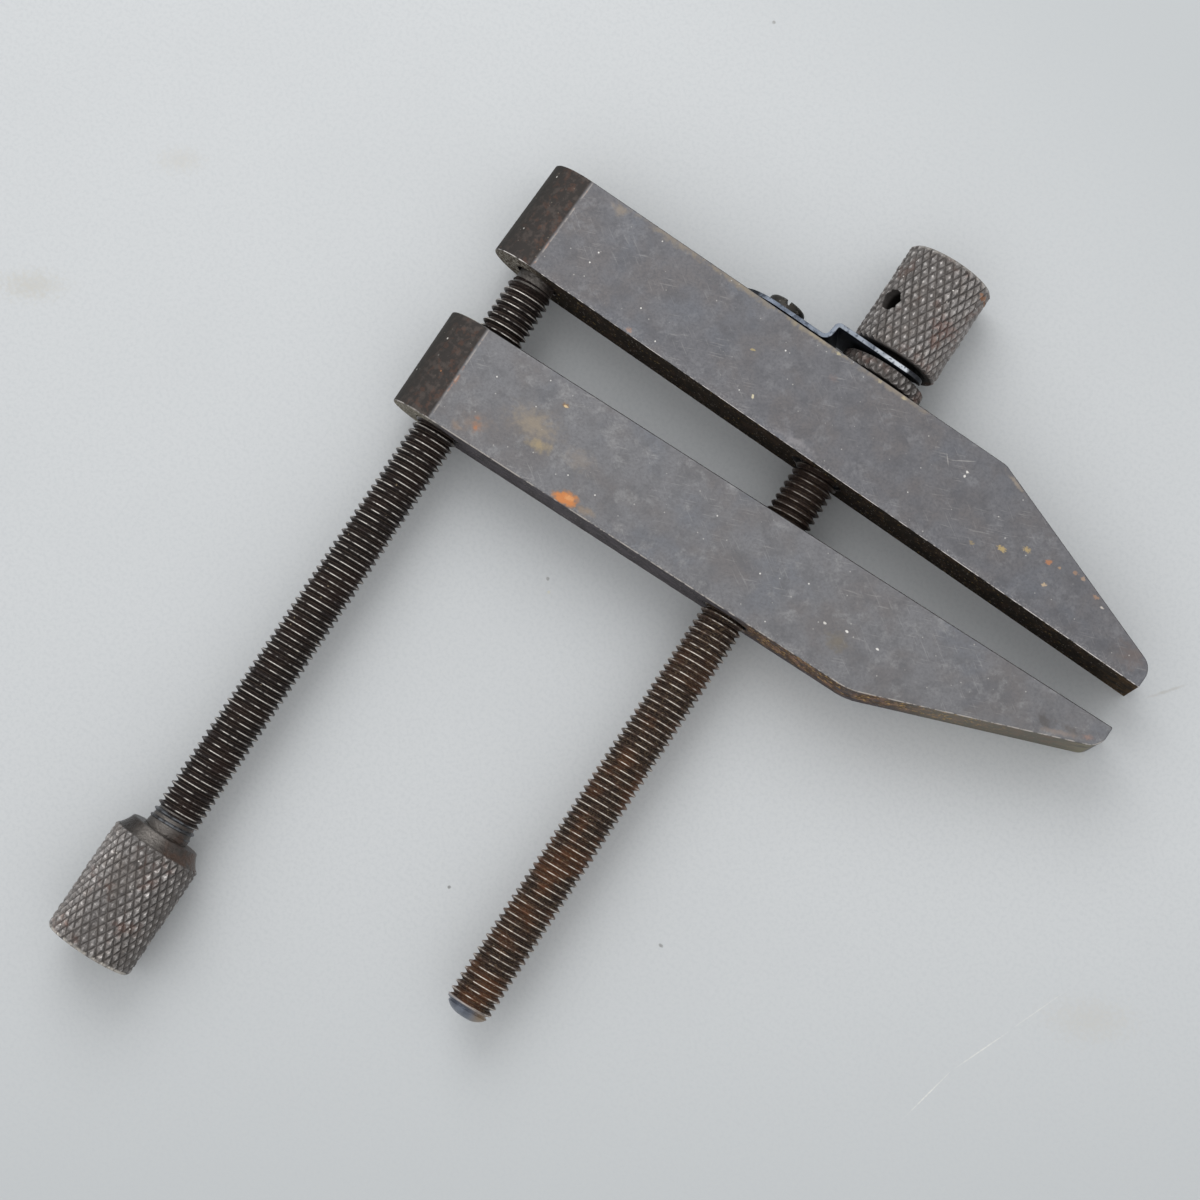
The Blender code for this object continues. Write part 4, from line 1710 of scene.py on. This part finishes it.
THREADED_JAW_MARKS = marks(
    (-31.8, 20.0, 5.2, 3.2, "#837a70", 0.60, 0.6, 0.0, 1.0),
    (-32.0, 20.1, 3.8, 2.0, "#8e8373", 0.60, 0.6, -4.0, 1.0),
    (-29.7, 18.1, 2.4, 1.1, "#a08f6c", 0.65, 0.6, 10.0, 1.0),
    (-24.4, 19.3, 3.0, 2.2, "#857c73", 0.45, 0.7, 0.0, 1.0),
    (-38.2, 16.0, 3.0, 1.8, "#80736a", 0.60, 0.7, 20.0, 1.0),
    (-38.0, 15.8, 1.2, 0.9, "#916a52", 0.60, 0.7, 0.0, 1.0),
    (-37.9, 15.6, 0.4, 0.4, "#a8714e", 0.70, 0.8, 0.0, 0.8),
    (-38.4, 16.8, 0.5, 0.4, "#986c53", 0.55, 0.8, 0.0, 0.9),
    (-40.2, 14.5, 1.0, 0.7, "#8a7767", 0.60, 0.7, 0.0, 1.0),
    (-43.5, 19.5, 0.4, 0.9, "#a8714c", 0.60, 0.8, 0.0, 0.9),
    (-20.1, 14.3, 1.8, 0.8, "#8d7a64", 0.60, 0.7, 10.0, 1.0),
    (-23.2, 14.2, 2.1, 1.3, "#a8733f", 0.80, 0.5, 14.0, 0.6),
    (-23.2, 14.2, 1.7, 1.0, "#c27b45", 0.90, 0.5, 14.0, 0.5),
    (-22.8, 14.5, 0.9, 0.5, "#d29a66", 0.70, 0.7, 14.0, 0.9),
    (-29.8, 24.3, 0.6, 0.4, "#7c6348", 0.80, 0.8),
    (-29.7, 24.2, 0.4, 0.2, "#cdb58c", 0.90, 0.6),
    (13.0, 18.8, 0.3, 0.2, "#d8d5cf", 0.80, 0.4),
    (15.9, 19.4, 0.3, 0.2, "#e4e2dd", 0.90, 0.4),
    (20.3, 19.6, 0.3, 0.2, "#e4e2dd", 0.90, 0.4),
    (15.5, 17.6, 2.2, 1.6, "#736a5a", 0.55, 0.8, 0.0, 1.0),
    (42.7, 23.4, 1.8, 1.2, "#504b48", 0.60, 0.8, 0.0, 0.9),
    (45.9, 24.2, 1.8, 0.8, "#58514c", 0.50, 0.8, 0.0, 0.9),
    (45.0, 23.2, 3.2, 0.5, "#8d8078", 0.60, 0.9, 20.0, 0.9),
    (48.1, 24.6, 0.9, 0.5, "#96786c", 0.60, 0.9, 20.0, 0.9),
)

FRONT_KNOB_MARKS = marks(
    (7.0, 65.8, 0.5, 0.4, "#9c6a45", 0.70, 0.6),
    (5.2, 59.2, 1.8, 1.4, "#755248", 0.45, 0.6, 0.0, 1.0),
)

PLAIN_JAW_MARKS = marks(
    (-38.1, 49.5, 1.6, 1.0, "#8d8172", 0.60, 0.8, 0.0, 1.0),
    (-30.0, 49.9, 7.5, 0.8, "#877c6c", 0.60, 0.9, -2.0, 1.0),
    (-18.9, 49.5, 8.5, 0.7, "#8b7f6c", 0.65, 0.9, -2.0, 1.0),
    (-8.5, 49.1, 7.0, 0.6, "#948872", 0.70, 0.9, -2.0, 1.0),
    (4.0, 48.6, 8.0, 0.6, "#8f8372", 0.60, 0.9, -2.0, 1.0),
    (-4.3, 48.8, 0.4, 0.3, "#b5a989", 0.75, 0.9),
    (2.1, 48.6, 0.4, 0.3, "#a79b80", 0.65, 0.9),
    (5.8, 48.4, 0.4, 0.3, "#b5a989", 0.65, 0.9),
    (-3.1, 45.7, 0.9, 0.7, "#74605a", 0.35, 0.8, 0.0, 1.0),
    (-3.0, 35.0, 7.5, 1.0, "#7c7a80", 0.45, 0.8, -2.0, 1.0),
    (-13.7, 43.3, 0.4, 0.2, "#a8986c", 0.75, 0.8, 20.0),
    (-10.4, 38.2, 0.2, 0.4, "#cfc6a8", 0.85, 0.5, 25.0),
    (-28.4, 36.9, 0.6, 0.5, "#a8836c", 0.60, 0.9, 0.0, 1.0),
    (-3.0, 36.3, 4.2, 0.8, "#959294", 0.45, 1.0, -2.0, 1.0),
    (14.7, 44.7, 1.1, 0.08, "#b3b0ac", 0.45, 0.6, -50.0),
    (16.5, 45.7, 1.9, 0.08, "#b3b0ac", 0.45, 0.6, 30.0),
    (17.6, 44.7, 0.3, 0.2, "#dcd9d4", 0.90, 0.8),
    (17.6, 44.1, 0.2, 0.2, "#dcd9d4", 0.90, 0.8),
    (22.9, 37.4, 0.4, 0.3, "#94835f", 0.60, 1.0),
    (26.5, 38.8, 0.7, 0.4, "#b09a68", 0.85, 1.0),
    (29.2, 40.4, 0.6, 0.4, "#ad9768", 0.80, 1.0),
    (32.3, 40.6, 0.6, 0.4, "#a97552", 0.85, 0.9, 30.0),
    (33.8, 40.7, 0.3, 0.2, "#a98d70", 0.70, 0.9),
    (33.3, 37.8, 0.4, 0.3, "#c2ab8c", 0.75, 0.9, 40.0),
    (35.8, 41.2, 0.5, 0.3, "#9c7d66", 0.70, 0.9),
    (37.0, 41.1, 0.4, 0.3, "#ab917c", 0.70, 0.9),
    (39.6, 40.0, 0.5, 0.3, "#a08068", 0.70, 0.9),
    (40.9, 39.3, 0.3, 0.2, "#c9c2b8", 0.80, 0.8),
    (23.3, 46.9, 2.4, 0.4, "#a39481", 0.50, 1.0, -22.0, 1.0),
    (47.2, 36.2, 3.0, 2.2, "#6c5f5a", 0.55, 0.8, 0.0, 1.0),
)

FLOOR_MARKS = marks(
    (-101.9, 0.5, 6.5, 3.0, "#bab5a8", 0.45, 0.8, 30.0, 1.0),
    (-94.6, 25.8, 4.5, 2.5, "#c0bcb2", 0.35, 0.8, 30.0, 1.0),
    (68.4, -4.1, 8.0, 4.0, "#beb9ae", 0.30, 0.8, 30.0, 1.0),
    (54.3, 37.0, 3.8, 0.3, "#aeaaa3", 0.50, 0.6, 51.6, 0.9),
    (56.3, -23.1, 5.3, 0.13, "#e3e3de", 0.75, 0.3, 77.7, 0.9),
    (59.0, -14.8, 5.2, 0.13, "#e3e3de", 0.75, 0.3, 67.3, 0.9),
    (62.3, -6.6, 5.4, 0.1, "#dededa", 0.60, 0.3, 68.0, 0.9),
    (-9.5, -35.3, 0.3, 0.3, "#5f5d58", 0.80, 0.5),
    (17.6, -26.4, 0.4, 0.3, "#6d6c67", 0.70, 0.5),
    (-21.1, 5.4, 0.3, 0.3, "#77756f", 0.70, 0.5),
    (-20.0, 4.0, 0.3, 0.3, "#d3cfba", 0.70, 0.5),
    (-37.4, 85.0, 0.3, 0.3, "#77756f", 0.60, 0.5),
)


@dataclass(frozen=True)
class Studio:
    """Pale floor, a sky brightest overhead, one broad lamp and the photograph's camera"""

    camera_place: Place = (0.025576, -0.019949, 0.342342)
    camera_turn: Place = (7.314, 3.025, 33.466)
    lens: float = 78.987
    sensor: float = 36.0
    floor_size: float = 3.0
    floor_drop: float = 0.0001
    # Painted shade: the ways and spans over which the floor darkens, standing for the lamp's falloff
    painted_floor_shade: tuple[tuple[Place, float, float], ...] = (
        ((0.54, -0.84, 0.0), 0.015, 0.080),
        ((0.21, 0.98, 0.0), 0.060, 0.115),
    )
    lamp_place: Place = (-0.20, 0.23, 0.34)
    lamp_size: float = 0.34
    lamp_power: float = 0.62
    sky_colour: str = "#fafafa"
    sky_low: float = 0.40
    sky_high: float = 1.16

    def paint(self) -> Material:
        """The floor's paint: cloudy, with painted shade that darkens it towards two edges, and small marks.

        Returns:
            The material.
        """
        material, place, _ = begin("painted_board", metallic=0.0, roughness=0.75)
        grain = patches(place, 0.0005, (0.40, 0.70), 0.45, seed=0.25)
        edge = rough_edge(place, MARK_EDGE)
        layers = [(patches(place, 0.030, (0.40, 0.70), 0.5, seed=0.15), "#c7cacc")]
        # painted shade towards two edges
        for way, start, end in self.painted_floor_shade:
            far = add(place, "VectorMath", {0: place, 1: way}, operation="DOT_PRODUCT")["Value"]
            layers.append((fade(far, start, end), "#bec2c4"))
        layers += [(mark.mask(place, edge), mark.colour) for mark in FLOOR_MARKS]
        return wire(material, coat("#cacdcf", [*layers, (grain, "#bdc1c4")]), grain, 0.00001)

    def hang(self, data: Any, place: Place, turn: Sequence[float]) -> Piece:
        """Put the lamp or the camera in the scene.

        Args:
            data: The lamp or camera.
            place: Where it is.
            turn: How it is turned, in radians.

        Returns:
            Its object.
        """
        holder = bpy.data.objects.new(data.name, data)
        holder.location = place
        holder.rotation_euler = turn
        bpy.context.scene.collection.objects.link(holder)
        return holder

    def build(self) -> None:
        """Set up the floor, the light and the camera."""
        bpy.ops.mesh.primitive_plane_add(size=self.floor_size, location=(0.0, 0.0, -self.floor_drop))
        floor = bpy.context.object
        floor.name = "floor"
        floor.data.materials.append(self.paint())

        lamp = bpy.data.lights.new("soft_lamp", "AREA")
        lamp.shape = "DISK"
        lamp.size = self.lamp_size
        lamp.energy = self.lamp_power
        self.hang(lamp, self.lamp_place, Vector(self.lamp_place).to_track_quat("Z", "Y").to_euler())

        world = bpy.data.worlds.new("overcast_sky")
        world.use_nodes = True
        tree = world.node_tree
        background = tree.nodes["Background"]
        background.inputs["Color"].default_value = linear(self.sky_colour)
        rise = add(tree, "SeparateXYZ", {0: add(tree, "TexCoord")["Generated"]})[2]
        ranges = {"Value": rise, "To Min": self.sky_low, "To Max": self.sky_high}
        tree.links.new(add(tree, "MapRange", ranges)[0], background.inputs["Strength"])
        bpy.context.scene.world = world

        camera = bpy.data.cameras.new("camera")
        camera.sensor_width = self.sensor
        camera.lens = self.lens
        camera.clip_start = 0.01
        turn = [math.radians(angle) for angle in self.camera_turn]
        bpy.context.scene.camera = self.hang(camera, self.camera_place, turn)
        bpy.context.scene.view_settings.view_transform = "Standard"


def threaded_jaw(stand: Stand) -> Jaw:
    """The jaw that both screws are threaded through.

    Args:
        stand: Where it stands.

    Returns:
        The jaw, ready to build.
    """
    steel = BlackedBar(
        "blacked_jaw_steel_worn", stand, THREADED_JAW_MARKS,
        ground="#737376", dark="#5b5b5e", pale="#8b8b8c", side_dark="#4a4749", side_pale="#605c60",
        worn_edge=-0.0140, rust_start=0.003, rust_end=0.036, rust_low=-0.0060,
        rust=("#5d4b3d", "#8d7163", "#c2a067"), crumbs=(0.54, 0.64), slope_start=0.0210,
        slope_tint="#757268", tip_tint="#8b8776", heel_tint="#7d7768", worn_rim="#b9b3ad", grit="#96918a",
    )
    depth = 0.0140
    holes = tuple((0.00328, x, -depth - CUT_MARGIN, CUT_MARGIN) for x in (0.0, -SCREW_SPACING))
    return Jaw(Body.THREADED_JAW, stand, steel, -1.0, depth, holes)


def plain_jaw(stand: Stand) -> Jaw:
    """The jaw that turns on the centre screw's collar.

    Args:
        stand: Where it stands.

    Returns:
        The jaw, ready to build.
    """
    steel = BlackedBar(
        "blacked_jaw_steel", stand, PLAIN_JAW_MARKS,
        ground="#68686c", dark="#525256", pale="#7c7c7f", side_dark="#28241f", side_pale="#3f372f",
        worn_edge=0.0, rust_start=-0.048, rust_end=0.055, rust_low=-0.0090,
        rust=("#2f2822", "#46392f", "#8f7a4e"), crumbs=(0.60, 0.68), slope_start=0.060,
        slope_tint="#78726a", tip_tint="#5c4a35", heel_tint="#5c544b", worn_rim="#efe9e6", grit="#a39d93",
    )
    depth = 0.01375
    beyond = depth + CUT_MARGIN
    centre_hole = (0.00379, -0.000268, -CUT_MARGIN, beyond)
    nose_seat = (0.00308, -0.044812, -CUT_MARGIN, 0.0040)
    clip_hole = (0.0017, -0.0159, 0.0085, beyond)
    return Jaw(
        Body.PLAIN_JAW, stand, steel, 1.0, depth, (centre_hole, nose_seat, clip_hole), blend_radius=0.0020
    )


def main() -> None:
    """Build the clamp's looks in order."""
    logging.basicConfig(level=logging.INFO)
    layout = Layout.of_frame()
    plain = Stand(layout.at(layout.centre_x, JAW_GAP), JAW_TILT)
    Studio().build()
    threaded_jaw(Stand(layout.at(layout.centre_x))).build()
    plain_jaw(plain).build()
    for kind, body, x in (
        (CentreScrew, Body.CENTRE_SCREW, layout.centre_x),
        (RearScrew, Body.REAR_SCREW, layout.rear_x),
    ):
        kind(body, layout.at(x), *layout.ends(body)).build()
    SpringClip(plain).build()
    ClipScrew(plain).build()


if __name__ == "__main__":
    main()
